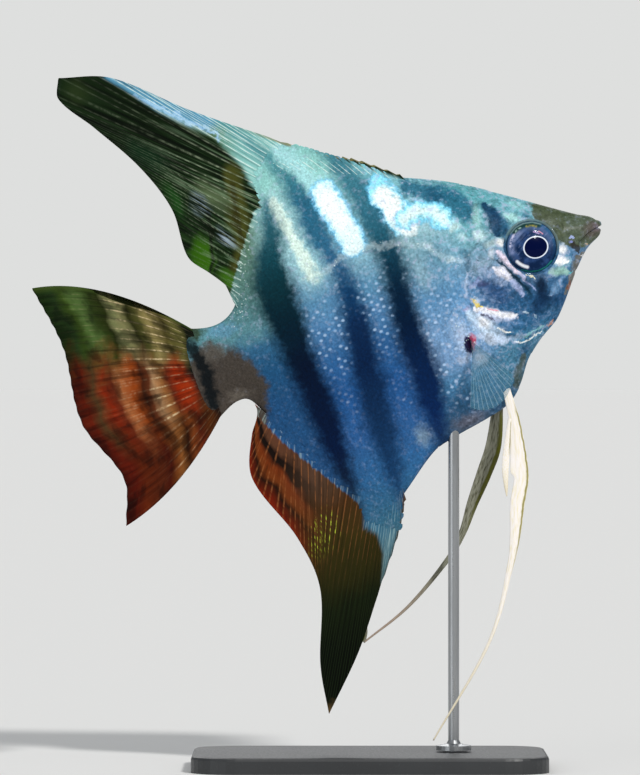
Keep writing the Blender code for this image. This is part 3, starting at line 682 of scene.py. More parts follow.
HEAD_MARKS = (
    # the nape and the forehead
    ("1a5880", 0.85, 0.9, ((22.4, 12.6), (21.8, 8.2), (21.6, 3.4)), 2.6),
    ("0b3c60", 0.95, 0.7, ((23.9, 14.6), (23.2, 10.2), (23.9, 6.4)), 2.7),
    ("0a3a58", 0.6, 0.9, (22.4, 7.0), (2.8, 2.0), -30),
    ("3c7088", 0.6, 0.9, (26.0, 8.4), (1.2, 1.4), 0),
    ("d6f4f4", 0.8, 0.9, (33.0, 12.4), (2.4, 1.9), 20),
    ("c4e6ec", 0.7, 0.9, (31.8, 9.2), (1.8, 1.6), 0),
    ("dcf4f8", 0.8, 0.9, (28.3, 8.2), (1.5, 1.4), 0),
    ("3f7590", 0.7, 0.9, (33.0, 5.4), (2.4, 1.5), 15),
    ("d8eef6", 0.7, 0.9, (36.2, 4.4), (1.5, 1.2), 0),
    ("d8eef6", 0.7, 0.9, (40.0, 9.6), (1.8, 1.2), 20),
    ("b9ece6", 0.75, 0.9, (19.2, 9.4), (2.8, 1.6), 30),
    ("a2dcdc", 0.6, 0.9, (17.0, 12.0), (3.8, 1.6), 35),
    ("2a6a90", 0.6, 0.9, (15.6, 8.6), (1.8, 1.4), 0),
    ("a8d8d0", 0.6, 0.9, (26.8, 12.4), (1.6, 5.0), 8),
    ("cfeef0", 0.7, 0.9, (27.6, 7.6), (2.4, 2.6), 0),
    # the snout and the jaws, with a sharp edge before the eye
    ("515b46", 0.97, 0.12, (6.0, 3.4), (8.4, 5.6), 32),
    ("515b46", 0.97, 0.12, (10.6, 6.4), (3.7, 6.4), 0),
    ("3c4a2c", 0.7, 0.9, ((14.0, 11.4), (9.6, 8.6), (5.0, 5.6)), 1.6),
    ("747c70", 0.5, 0.9, (10.6, 5.0), (2.4, 1.8), 30),
    ("5e5652", 0.85, 0.8, (1.8, 0.4), (3.6, 2.8), 0),
    ("807280", 0.5, 0.9, (0.7, 0.6), (1.4, 1.3), 0),
    ("32302e", 0.9, 0.7, ((7.0, -1.0), (6.5, -3.4)), 1.5),
    ("6f6c60", 0.9, 0.6, ((5.4, -3.8), (7.3, -5.6), (9.1, -8.2), (10.9, -10.2), (12.6, -12.0)), 1.1),
    ("8a4c3c", 0.7, 0.8, ((10.5, -9.6), (11.8, -11.4)), 0.6),
    ("c08a6c", 0.85, 0.6, ((17.6, -16.4), (19.0, -18.0)), 0.6),
    # small lilac, gold and white glints on the upper jaw: painted highlights
    ("a8b8e8", 0.85, 0.7, ((8.0, 0.3), (7.3, 0.6), (6.4, 0.2)), 0.4),
    ("8f9ae0", 0.8, 0.8, (7.5, -0.5), (0.6, 0.5), 0),
    ("d0a040", 0.85, 0.7, (4.1, -2.3), (0.45, 0.3), 60),
    ("9ca6d8", 0.8, 0.7, ((4.3, -3.3), (4.8, -3.9)), 0.35),
    ("e6e8ec", 0.85, 0.7, ((6.2, -4.4), (5.6, -5.2)), 0.4),
    # dark skin under the eye, and the bar that runs down from it
    ("123a66", 0.6, 0.6, EYE, (8.0, 8.0), 0),
    ("123258", 0.8, 0.9, (19.6, -12.6), (4.2, 3.6), -40),
    ("021432", 0.8, 1.0, (17.6, -10.4), (3.0, 6.4), -12),
    ("021432", 0.8, 1.0, (17.4, -7.6), (2.2, 4.2), -4),
    ("0c3964", 0.6, 0.9, (14.6, -12.6), (3.2, 2.4), -40),
    # pale places before and under the eye
    ("3f7fa4", 0.7, 0.8, (11.0, -4.6), (4.2, 4.4), 20),
    ("fbfdff", 1.0, 0.9, (10.1, -1.8), (1.9, 1.7), 0),
    ("9cc4d4", 0.7, 0.9, ((13.8, -3.4), (9.0, -5.4)), 2.8),
    ("f8fcff", 1.0, 0.9, ((13.6, -2.9), (11.8, -3.9), (9.8, -5.0)), 2.0),
    ("9cc8bc", 0.9, 0.9, ((15.0, -5.7), (12.6, -6.3), (10.0, -7.4)), 1.9),
    ("4cc0d0", 0.8, 0.8, (9.6, -7.9), (0.6, 0.5), 0),
    ("7aa4cc", 0.6, 0.9, ((16.2, -10.8), (14.2, -9.6), (11.6, -8.4)), 1.4),
    # behind the eye
    ("8fa8b4", 0.5, 0.9, (29.6, 1.0), (5.0, 2.8), -15),
    ("2c5468", 0.6, 0.9, ((32.4, 4.4), (32.9, 0.6)), 1.3),
    ("c4e0e4", 0.8, 0.9, (25.8, 4.8), (2.6, 1.5), 0),
    ("fafcfc", 0.95, 0.8, (23.9, 4.2), (1.7, 1.5), 0),
    ("ece0f2", 1.0, 0.7, ((25.3, 2.4), (24.4, 1.0), (23.3, -1.0), (21.9, -3.8)), 1.45),
    ("c2c6e8", 0.9, 0.8, ((22.1, -3.5), (20.9, -6.1)), 0.9),
    ("8fa0d0", 0.8, 0.8, ((20.9, -6.1), (19.4, -8.8)), 0.5),
    ("f4f0d0", 0.9, 0.7, ((20.6, -4.5), (19.5, -5.4), (18.6, -5.8)), 0.45),
    ("dbe6ee", 0.7, 0.9, (26.6, 2.6), (1.2, 1.4), 0),
    ("0a2f40", 0.9, 0.85, ((25.6, 0.6), (24.8, -1.6), (23.7, -4.1), (22.4, -6.4), (20.8, -9.2)), 0.85),
    ("174058", 0.7, 0.9, ((22.2, -7.2), (20.6, -10.0)), 1.3),
    # the gill cover's plate: deep blue and violet in the middle, paler round it
    ("2f5280", 0.9, 0.85, (28.6, -5.6), (6.0, 4.8), 32),
    ("4d4a7c", 0.6, 0.9, (30.8, -3.4), (2.2, 1.7), 0),
    ("8c98c4", 0.7, 0.9, ((34.0, -3.8), (32.8, -3.2), (31.2, -1.6)), 1.3),
    ("1e3e68", 0.6, 0.9, (28.4, -8.4), (3.4, 1.5), 20),
    ("6c8cb4", 0.5, 0.9, ((33.4, -6.0), (30.4, -6.8), (28.0, -8.8)), 0.9),
    ("b4cce6", 0.8, 0.9, ((33.6, -5.8), (34.3, -8.0)), 1.2),
    ("8fa6c8", 0.6, 0.9, ((30.6, 0.2), (27.6, -1.6), (25.6, -5.0)), 2.4),
    ("f0f0fc", 0.95, 0.9, ((27.2, -0.7), (25.8, -2.4), (24.4, -4.8)), 1.6),
    ("a8b4dc", 0.8, 0.9, ((24.6, -4.4), (23.4, -7.0), (22.8, -9.4)), 1.0),
    ("b4c4dc", 0.7, 0.9, ((33.4, 0.6), (34.4, -1.6), (35.4, -5.2)), 0.8),
    # the bright lower edge of the plate, and the white plates below it
    ("c8e0f6", 0.85, 0.85, ((36.4, -8.6), (34.2, -12.8), (32.4, -16.4), (30.2, -18.0)), 3.7),
    ("fafbff", 0.85, 0.9, (34.0, -12.2), (3.0, 1.9), 60),
    ("eef6ff", 0.8, 0.9, (33.4, -16.2), (2.6, 1.5), 50),
    ("9cbcd8", 0.7, 0.9, ((30.0, -17.6), (27.6, -18.2), (25.0, -18.0)), 1.2),
    ("c8b8dc", 0.6, 0.9, (36.6, -7.6), (1.6, 1.0), 0),
    # a pale band, a white line and a yellow streak along the plate's lower edge: painted highlights
    ("c8d4f0", 0.8, 0.9, ((34.4, -9.2), (31.4, -11.2), (26.4, -13.6)), 2.4),
    ("f8f9ff", 1.0, 0.8, ((34.7, -8.2), (31.6, -10.2), (29.0, -11.9), (26.0, -13.3)), 1.6),
    ("f2da74", 0.95, 0.6, ((34.9, -6.3), (33.1, -8.3)), 0.6),
    ("e88aa0", 0.8, 0.7, ((31.9, -9.3), (29.3, -10.8)), 0.32),
    ("4a4660", 0.85, 0.8, ((33.9, -10.2), (33.0, -10.9), (31.5, -12.5)), 0.5),
    ("4878a4", 0.8, 0.9, ((30.4, -13.9), (27.6, -14.6), (24.4, -15.2)), 1.5),
    ("c4d6ee", 0.8, 0.9, ((36.4, -14.4), (32.6, -17.0), (29.4, -18.0)), 1.9),
    ("f8faf2", 0.9, 0.7, ((31.0, -14.6), (29.8, -15.9), (28.1, -16.7)), 0.32),
    ("c0d8e4", 0.7, 0.8, ((24.1, -12.5), (23.0, -13.1)), 0.4),
    ("a8d0e0", 0.6, 0.8, ((21.7, -13.7), (21.5, -15.0)), 0.3),
    ("24527a", 0.7, 0.9, (26.6, -21.8), (4.0, 2.0), -38),
    ("4a564f", 0.85, 0.7, ((26.8, -23.0), (28.6, -25.6), (31.2, -29.4)), 1.5),
    # the fine pale rims under the throat
    ("f2f6f4", 0.9, 0.8, ((28.4, -19.1), (26.2, -19.8), (23.3, -19.4), (21.0, -18.8)), 0.38),
    ("8cc8cc", 0.8, 0.8, ((26.0, -18.5), (23.0, -18.1), (20.1, -17.7)), 0.38),
    # the root of the pectoral fin
    ("c4d2ec", 0.7, 0.9, (41.4, -18.8), (2.4, 1.5), 10),
    ("d8dcee", 0.6, 0.9, (37.4, -19.8), (2.0, 1.4), 0),
    ("c83c58", 0.9, 0.5, (37.7, -15.8), (1.2, 2.7), 0),
    ("1a1440", 0.97, 0.45, (38.6, -16.0), (1.25, 3.0), 0),
)


def painted_sparkle(board, place):
    """Bright specks of painted sparkle, thickest along the rear rim, behind the gill cover and in the light
    bands.
    """
    s, _, h = board.parts(place)
    grains = board.cells(place, 1.5)
    specks = board.fade(grains, 0.3, 0.12) * board.fade(board.noise(place, 0.8), 0.42, 0.62)
    flat = board.joined(s, h)
    where = board.stroke(flat, REAR_RIM, 3.2, 0.9)
    where = where.call("MAXIMUM", board.oval(flat, (39, -14), (6, 10), 0, 0.8))
    where = where.call("MAXIMUM", board.stroke(flat, LATERAL_LINE, 1.3, 0.8))
    where = where.call("MAXIMUM", board.oval(flat, (90.5, 7.5), (5.5, 3.6), 0, 0.8))
    return specks * where


# ---------------------------------------------------------------- the skin
def living_colour(board, place):
    """The livery with the fine mottling that skin and scales share."""
    s, _, h = board.parts(place)
    colour = livery(board, place, True)
    fine = board.noise(place, 1.9, 4.0)
    colour = board.mix(board.fade(fine, 0.5, 0.3) * 0.45, colour, board.times(colour, 0.5))
    colour = board.mix(board.fade(fine, 0.5, 0.72) * 0.6, colour, board.times(colour, 1.5))
    swirling = {"Vector": place, "Scale": 0.4, "Detail": 6, "Distortion": 1.6}
    swirls = board.node("ShaderNodeTexNoise", None, swirling)
    head = board.fade(s + h * 0.35, 36, 32) * board.fade(s, 11, 15)
    colour = board.mix(board.fade(swirls, 0.5, 0.36) * head * 0.6, colour, board.times(colour, 0.5))
    bright = board.fade(board.light(colour), 0.03, 0.22)
    milk = board.fade(swirls, 0.52, 0.68) * head * 0.4
    clouds = board.noise(place, 0.8, 4.0)
    forward = board.fade(s, 52, 44)
    colour = board.mix(board.fade(clouds, 0.5, 0.34) * forward * 0.5, colour, board.times(colour, 0.55))
    milk = milk.call("MAXIMUM", board.fade(clouds, 0.52, 0.7) * (forward * 0.3 + 0.28)) * bright
    colour = board.mix(milk, colour, "b4c0dc")
    # with bright specks of painted sparkle behind the head
    return board.mix(painted_sparkle(board, place) * board.fade(s, 24, 28), colour, "e6fbf4"), fine


def skin_material(settings):
    board = Board("living_skin")
    place = board.fish_place()[-1]
    colour, fine = living_colour(board, place)
    height = fine * 0.85 + board.cells(place, 3.2) * 0.15
    roughness = board.fade(fine, 0.3, 0.7, 0.52, 0.36)
    return board.wet_finish(colour, roughness, board.bump(height, 0.00007, 0.5), settings.wetness)


RIDGES = (  # (path, height, half width) of the face's modelling
    (MOUTH_CLEFT, -0.8, 0.3),
    (UPPER_LIP, 0.4, 0.6),
    (LOWER_LIP, 0.4, 0.6),
    (JAW_CREASE, -0.35, 0.5),
    (CHEEK_BAND, 0.28, 0.8),
    (CHEEK_GROOVE, -0.5, 0.45),
    (CHEEK_RIDGE, 0.22, 0.7),
    (COVER_SEAM, 0.2, 0.5),
    (THROAT_RIM, 0.3, 0.35),
)
PLATE_EDGES = ((COVER_EDGE, 0.42), (GILL_RIM, 0.25))
EDGE_REACH = 9  # how far a plate's edge lifts the skin in front of it
EDGE_FALL = 3  # and how soon that fades
EDGE_STEP = (-0.3, 0.35)  # where the step at a plate's edge starts and ends
EDGE_GROOVE = (-0.5, 0.4, -0.5)  # the groove behind it: where, its half width, and its share of the height
HEAD_END = 42
SOCKET = (6.5, 5.7)  # how far from the eye's middle its socket starts and has its full depth
SOCKET_DEPTH = 2.7
ORBIT_SWELL = (7.2, 0.8, 0.25)  # the swelling round the socket: its radius, half width and height
NOSTRIL_PIT, NOSTRIL_RIM = (0, 0.5, -0.5), (0.8, 0.35, 0.18)  # and the same round the nostril
PECTORAL_SWELL = (1.3, 2.4, 0.55)  # half sizes along s and h, and height


def margins(path, reach):
    """The box round a path that its modelling stays inside, as (least s, most s, least h, most h)."""
    along_s, along_h = zip(*path)
    return min(along_s) - reach, max(along_s) + reach, min(along_h) - reach, max(along_h) + reach


@functools.cache
def head_paths():
    ridges = []
    for path, height, width in RIDGES:
        smooth = smooth_path(path)
        ridges.append((smooth, height, width, margins(smooth, 3 * width)))
    edges = []
    for path, height in PLATE_EDGES:
        smooth = smooth_path(path, 24)
        edges.append((smooth, height, margins(smooth, EDGE_REACH)))
    return ridges, edges


def within(box, s, h):
    return box[0] < s < box[1] and box[2] < h < box[3]


@functools.cache
def relief(s, h):
    """How far the modelling of the head stands out from the plain skin."""
    ridges, edges = head_paths()
    away = math.dist((s, h), EYE)
    total = ring(away, *ORBIT_SWELL) - SOCKET_DEPTH * ease(away, *SOCKET)
    for path, height, width, box in ridges:
        if within(box, s, h):
            total += height * peak(near(path, s, h), width)
    for path, height, box in edges:
        if within(box, s, h):
            distance = near(path, s, h)
            total += height * ease(distance, *EDGE_STEP) * math.exp(-max(distance, 0) / EDGE_FALL)
            total += height * ring(distance, *EDGE_GROOVE)
    away = math.dist((s, h), NOSTRIL)
    total += ring(away, *NOSTRIL_PIT)
    total += ring(away, *NOSTRIL_RIM)
    half_s, half_h, height = PECTORAL_SWELL
    total += height * peak((s - PECTORAL_BASE[0]) / half_s, 1) * peak((h - PECTORAL_BASE[1]) / half_h, 1)
    return total * ease(s, HEAD_END, HEAD_END - 3)


SKIN_ROWS, SKIN_COLUMNS = 288, 340
SKIN_REACH = ((0, -0.5), (0.08, 1.2), (0.6, 36), (1, 104.5))  # (share of the rows, s)
NOSE_ROWS = 0.03  # the share of the rows that round off the lips
NOSE_LENGTH = 0.35  # how far they bulge forward
CROWDING = 0.6  # how much the columns crowd together along the back and the belly


def make_skin(settings):
    half = SKIN_COLUMNS // 2

    def place(share, column):
        s = round(through(SKIN_REACH, share), 3)
        level, back, belly, wide = section(s)
        side = 1 if column < half else -1
        t = (column % half + 0.5) / half * 2 - 1
        t *= side  # up the left side, and down the right
        angle = CROWDING * math.asin(t) + (1 - CROWDING) * t * math.pi / 2
        reach = back - level if t > 0 else level - belly
        turn = min(share / NOSE_ROWS, 1) * math.pi / 2
        nose = math.sin(turn)
        h = level + math.sin(angle) * (reach - SKIN_SUNK) * nose
        y = side * math.cos(angle) ** KEEL_POWER * (wide - SKIN_SUNK) * nose
        forward = NOSE_LENGTH * math.cos(turn)
        return in_fish(s - forward, h, y), (share, (column + 0.5) / SKIN_COLUMNS, 0)

    bm = wrapped_sheet(SKIN_ROWS, SKIN_COLUMNS, place, "unwrap")
    model_head(bm)
    unwrap(bm)
    replaced = ("head", "upper_jaw", "lower_jaw", "gill_cover_left", "gill_cover_right", "trunk", "tail_stem")
    add_piece("skin", bm, skin_material(settings), replaced)


def model_head(bm):
    """Moves the skin of the head along its normals, by its relief."""
    bm.normal_update()
    moves = []
    for vert in bm.verts:
        offset = (vert.co - MOUTH) / UNIT
        s, h = round(offset.dot(REARWARD), 2), round(offset.dot(UPWARD), 2)
        if s < HEAD_END:
            moves.append((vert, vert.normal * relief(s, h) * UNIT))
    for vert, move in moves:
        vert.co += move


def unwrap(bm):
    """Lays the rows and columns of the skin out flat, with the cut along the belly."""
    laid = bm.verts.layers.float_vector["unwrap"]
    chart = bm.loops.layers.uv.new("OFBake")
    for face in bm.faces:
        rounds = [loop.vert[laid].y for loop in face.loops]
        crosses = max(rounds) - min(rounds) > 0.5
        for loop, turn in zip(face.loops, rounds):
            loop[chart].uv = (loop.vert[laid].x, turn + (crosses and turn < 0.5))


# ---------------------------------------------------------------- the scales
SCALE_KINDS = {  # name: (spacing along s, spacing along h, faces along, faces across)
    "flank": (1.3, 1.9, 4, 3),
    "fine": (1.05, 1.5, 3, 2),
    "face": (0.8, 1.1, 3, 2),
}
CHEEK = ((22.5, -9), (27.5, 3.5), (32.5, 0.2), (34.6, -7.2), (32, -13), (27, -17), (23.5, -14.5))
SCALED_LENGTH, SCALED_HEIGHTS = 110, (-70, 70)  # the part of the s-h plane that is searched for scales
SCALE_OVERLAP = 2.1  # a scale's length, as a share of the step to the next
SCALE_HALF_WIDTH = 0.6  # as a share of the step across
SCALE_SLIMMING = 1.6  # how fast small scales get thinner
SCATTER = 0.06  # how far scales are out of line, in steps and in radians
SCALE_THICKNESS = 0.05
SCALE_CREASE = math.radians(40)  # the rim of a scale is shaded as an edge, and the rest smoothly
SCALE_CROWN = 0.036  # how far a scale's middle rises over its sides
SCALE_BOW = 0.1  # how far its sides stay behind its middle, as a share of its length
SCALE_TUCK = 0.25  # how far its root dips under the skin, as a share of its rise
SCALE_RISE = (0.85, 1.15)  # how far the free edges stand off, as shares of the lift
SCALE_SEED = 11
SCALED_END = 101  # s where the scales of the body stop
BARE_FACE = ((22, math.inf), (26, 9), (30, -4))  # bare places: before the first, s, and below the second, h
BARE_COVER, COVER_MARGIN = (35.6, 3), -0.6  # and so is the gill cover, out to its edge
FINE_FRONT, FINE_REAR, FINE_RIM = 33, 86, 3.2  # fine scales lie before, behind and this near the outline
FINE_BREAST = (40, -19)  # and before and below this place
DORSAL_CLIMB, ANAL_CLIMB = 6, 5  # how far scales climb the fins
DORSAL_LEAN, ANAL_LEAN = math.radians(44), math.radians(46)  # how steeply they lie there
LEAN_START, LEAN_END = 5, 4  # how far inside and outside the outline they turn to that
DORSAL_FOOT, ANAL_FOOT = (43.5, 86.5), (66, 88.5)  # where the fins stand on the body, along s
DORSAL_FOOT_TOP = 17  # above this h the dorsal fin's foot runs further back
BATCH = 40  # scales that are shaped together, because the bmesh operators slow down on a big mesh
CHART_PATCH = 0.003  # how far across a scale is on the unwrap
CHART_START, CHART_LENGTH, CHART_TURN = 0.01, 107, 0.76  # how the flank fills the unwrap
CHART_CLIMB, CHART_MARGIN = 0.06, 0.11  # and the fins' scales beyond it
FIN_BLEND = 0.8  # how softly the flank turns into the root of a fin
RIM_MARGIN, LEAST_HALF = 0.05, 0.02  # scales keep this far inside the outline and off the midline


def below_fin(s, h):
    """Whether a median fin stands on the body at (s, h), so that a scale there climbs its root."""
    level = section(round(min(s, BODY_END), 1))[0]
    if h > level:
        return DORSAL_FOOT[0] < s < DORSAL_FOOT[1] + max(h - DORSAL_FOOT_TOP, 0)
    return h < level and ANAL_FOOT[0] < s < ANAL_FOOT[1]


def before(place, s, h):
    """Whether (s, h) is before and below a place."""
    return s < place[0] and h < place[1]


def scale_kind(s, h):
    """Which scales cover the place (s, h), if any."""
    _, back, belly, _ = section(round(min(s, BODY_END), 1))
    cover = near(smooth_cover(), s, h)
    if inside(CHEEK, s, h):
        return "face"
    if belly < h < back and s < SCALED_END:
        if any(before(place, s, h) for place in BARE_FACE):
            return None
        if before(BARE_COVER, s, h) and cover > COVER_MARGIN:
            return None
        rim = min(back - h, h - belly) < FINE_RIM
        return "fine" if s < FINE_FRONT or s > FINE_REAR or rim or before(FINE_BREAST, s, h) else "flank"
    climbs = back < h < back + DORSAL_CLIMB and inside(DORSAL_SHEATH, s, h)
    climbs = climbs or (belly - ANAL_CLIMB < h < belly and inside(ANAL_SHEATH, s, h))
    return "fine" if climbs else None


@functools.cache
def smooth_cover():
    return smooth_path(COVER_EDGE, 16)


def lie(s, h):
    """The angle at which scales lie at (s, h), in the s-h plane: level on the body and swept on the fins."""
    _, back, belly, _ = section(round(min(s, 100), 1))
    upward = DORSAL_LEAN * ease(h, back - LEAN_START, back + LEAN_END)
    return upward - ANAL_LEAN * ease(h, belly + LEAN_START, belly - LEAN_END)


def outer(s, h, side, lift, on_fin):
    """A point on the outside of the fish, lift above its skin."""
    _, back, belly, _ = section(round(s, 2))
    if not on_fin:
        h = min(max(h, belly + RIM_MARGIN), back - RIM_MARGIN)
    half = flank(s, h) - SKIN_SUNK
    if on_fin:
        fin = sheath(s, h)
        blend = max(FIN_BLEND - abs(half - fin), 0) / FIN_BLEND
        half = max(half, fin) + blend * blend * FIN_BLEND / 4
    return in_fish(s, h, side * (max(half, LEAST_HALF) + lift))


def scale_roots(kind):
    """The roots of one kind of scale, in staggered columns down the fish."""
    step_s, step_h = SCALE_KINDS[kind][:2]
    lowest, highest = SCALED_HEIGHTS
    for i in range(int(SCALED_LENGTH / step_s)):
        s = i * step_s
        for j in range(int((highest - lowest) / step_h)):
            h = lowest + (j + (i % 2) / 2) * step_h
            if scale_kind(s + step_s * 0.5, h) == kind:
                yield kind, s, h


def scale_outline(x):
    """Half the width of a scale at x of its length: an oval with a blunt end, 1 at its widest."""
    return math.sqrt(max(1 - (x * 1.02 - 0.42) ** 2 / 0.37, 0.02))


def scale_batch(roots, side, chance, lift):
    """Shapes a few scales together, as solid plates.

    Until they are in place, the layer's third value is a scale's number doubled, plus its tone.
    """
    bm = bmesh.new()
    chart = bm.loops.layers.uv.new("OFBake")
    local = bm.verts.layers.float_vector.new("scale_place")
    shapes = []
    for kind, s, h in roots:
        step_s, step_h, faces_along, faces_across = SCALE_KINDS[kind]
        s += chance.uniform(-SCATTER, SCATTER) * step_s
        h += chance.uniform(-SCATTER, SCATTER) * step_h
        made = bmesh.ops.create_grid(bm, x_segments=faces_along, y_segments=faces_across, size=1)["verts"]
        tone = chance.random()
        for vert in made:
            vert[local] = ((vert.co.x + 1) / 2, vert.co.y, tone + len(shapes) * 2)
        turn = lie(s, h) + chance.uniform(-SCATTER, SCATTER)
        size = (step_h / SCALE_KINDS["flank"][1]) ** SCALE_SLIMMING
        rise = lift / UNIT * size * chance.uniform(*SCALE_RISE)
        length, width = step_s * SCALE_OVERLAP, step_h * SCALE_HALF_WIDTH
        shapes.append((s, h, turn, length, width, rise, size, below_fin(s, h)))
    for face in bm.faces:
        for loop in face.loops:
            x, across, mark = loop.vert[local]
            u, v = chart_place(*shapes[int(mark / 2)][:2])
            loop[chart].uv = (u + x * CHART_PATCH, v + across * CHART_PATCH / 2)
    below = bmesh.ops.extrude_face_region(bm, geom=bm.faces[:], use_keep_orig=True)["geom"]
    lower = {element for element in below if isinstance(element, bmesh.types.BMVert)}
    place_scales(bm, local, lower, shapes, side)
    bmesh.ops.recalc_face_normals(bm, faces=bm.faces)
    for edge in bm.edges:
        edge.smooth = edge.calc_face_angle(0) < SCALE_CREASE
    return bm


def place_scales(bm, local, lower, shapes, side):
    """Lays flat scales on the fish. lower holds the points of their undersides."""
    for vert in bm.verts:
        x, across, mark = vert[local]
        s, h, turn, length, width, rise, size, on_fin = shapes[int(mark / 2)]
        ds, dh = length * (x - across * across * SCALE_BOW * x), width * across * scale_outline(x)
        at_s = s + ds * math.cos(turn) - dh * math.sin(turn)
        at_h = h + ds * math.sin(turn) + dh * math.cos(turn)
        raised = rise * (x * (1 + SCALE_TUCK) - SCALE_TUCK) + SCALE_CROWN * (1 - across * across) * size
        if vert in lower:
            raised -= SCALE_THICKNESS * size
        vert.co = outer(at_s, at_h, side, raised, on_fin)
        vert[local] = (x, across, mark % 2)


def chart_place(s, h):
    """The place of (s, h) on an unwrap of one side of the skin, from its belly to its back."""
    level, back, belly, _ = section(round(min(s, BODY_END), 1))
    rise = (h - level) / (back - level if h > level else level - belly)
    turn = math.asin(min(max(rise, -1), 1)) / math.pi
    beyond = max(abs(rise) - 1, 0)
    climb = math.copysign(min(beyond * CHART_CLIMB, CHART_MARGIN), rise)
    return CHART_START + s / CHART_LENGTH, 0.5 + CHART_TURN * turn + climb


def make_scales(settings):
    material = scale_material(settings)
    roots = [root for kind in SCALE_KINDS for root in scale_roots(kind)]
    for name, side in SIDES:
        chance = random.Random(SCALE_SEED)
        whole = bmesh.new()
        whole.loops.layers.uv.new("OFBake")
        whole.verts.layers.float_vector.new("scale_place")
        for start in range(0, len(roots), BATCH):
            batch = scale_batch(roots[start : start + BATCH], side, chance, settings.scale_lift)
            held = bpy.data.meshes.new("scale_batch")
            batch.to_mesh(held)
            batch.free()
            whole.from_mesh(held)
            bpy.data.meshes.remove(held)
        add_piece(f"scale_coat_{name}", whole, material)


PEARL_GLINTS = ((43, -5), (43, -16), (44, -25))  # where the scales get pearly specks of painted highlight, behind the pectoral fin
PEARL_GLINTS_BACK = ((55, -1), (62, -5), (70, -4))  # and between the bars


def scale_material(settings):
    board = Board("iridescent_scales")
    s, _, h, place = board.fish_place()
    colour, fine = living_colour(board, place)
    x, across, tone = board.parts(board.named("scale_place"))
    # painted highlights: a bright spot near each scale's middle, strongest low on the flank, and pearly
    # specks in rows behind the pectoral fin and between the bars, stand in for the light that the iridescent
    # scales catch
    centre = board.length(board.joined((x - 0.64) * 4.6, across * 2.2))
    banded = board.fade(h, 13, 8) * board.fade(h, -34, -22) * board.fade(s, 88, 80)
    patchy = board.fade(board.noise(place, 0.35, 3.0), 0.4, 0.6)
    painted_glint = board.fade(centre, 1.2, 0.1) * board.fade(tone, 0.1, 0.9) * (banded * 0.8 + 0.1) * patchy * 0.6
    flat = board.joined(s, h)
    pearl_glint_places = board.stroke(flat, PEARL_GLINTS, 6, 0.6).call("MAXIMUM", board.stroke(flat, PEARL_GLINTS_BACK, 13, 0.8) * 0.8)
    pearl_glint = board.fade(centre, 1.0, 0.3) * board.fade(tone, 0.2, 1.0) * pearl_glint_places
    light = board.light(colour)
    painted_glint = painted_glint * board.fade(light, 0.015, 0.16)
    pearl_glint = pearl_glint * board.fade(light, 0.02, 0.13)
    colour = board.mix(board.fade(s, 34, 42) * board.fade(h, 20, 8), colour, board.times(colour, 0.85))
    # the painted highlights, in pale blue-white over the scales' colour
    bright = board.mix(0.45, colour, "dcecff")
    colour = board.mix(pearl_glint * 0.7, board.mix(painted_glint, colour, bright), "b8d6f6")
    rings = (x * 26).call("SINE") * 0.3 + fine
    roughness = board.fade(fine, 0.3, 0.7, 0.5, 0.34)
    return board.wet_finish(colour, roughness, board.bump(rings, 0.00003, 0.5), settings.wetness, 0.22)


# ---------------------------------------------------------------- the eyes
EYE_RADIUS = 6.3
EYE_DEPTH = 4.9  # y of the eyeball's centre
EYE_FLATNESS = 0.44
IRIS_GROOVE = (0.45, 0.12, -0.05)  # round the pupil: its radius, half width and height, as shares of the eye
EYE_YAW = math.radians(9)  # the eye faces this far forward
PUPIL, PUPIL_SIZE = (-1.0, -0.4), (2.75, 2.4)  # its middle, from the eye's, and its half axes
RING = 1.085  # the pale ring round the pupil, as a share of the pupil's size
IRIS_AND_GLINT_ARCS = (  # (start, end, radius, half width, strength, whether it is torn, colour) of marks round the eye, among them painted highlights and reflections: the lilac arcs at the upper rear, the white streak at the lower rear, and the green band with its yellow streak under the upper rim
    (4, 66, 4.9, 1.1, 0.55, True, "8e9ac4"),
    (20, 58, 5.1, 0.4, 0.8, True, "d4d4f0"),
    (-60, -27, 4.9, 0.6, 0.97, False, "f6f9ff"),
    (118, 138, 3.7, 0.3, 0.8, True, "c0a8d8"),
    (134, 150, 4.2, 0.22, 0.8, False, "e0a0b8"),
    (60, 128, 5.5, 0.95, 0.9, False, "14382a"),
    (96, 122, 5.1, 0.45, 0.7, True, "a09a48"),
    (62, 80, 5.3, 0.3, 0.6, True, "b0d4c8"),
    (-128, -48, 5.95, 0.28, 0.7, False, "2f9c8c"),
    (50, 132, 6.0, 0.3, 0.6, False, "7f9c9a"),
)
ARC_STEPS = 4


def arc_path(start, end, radius):
    """A path round the eye, from one angle to another in degrees, counted from the rear upwards."""
    turns = [math.radians(start + (end - start) * step / ARC_STEPS) for step in range(ARC_STEPS + 1)]
    return [(math.cos(turn) * radius, math.sin(turn) * radius) for turn in turns]


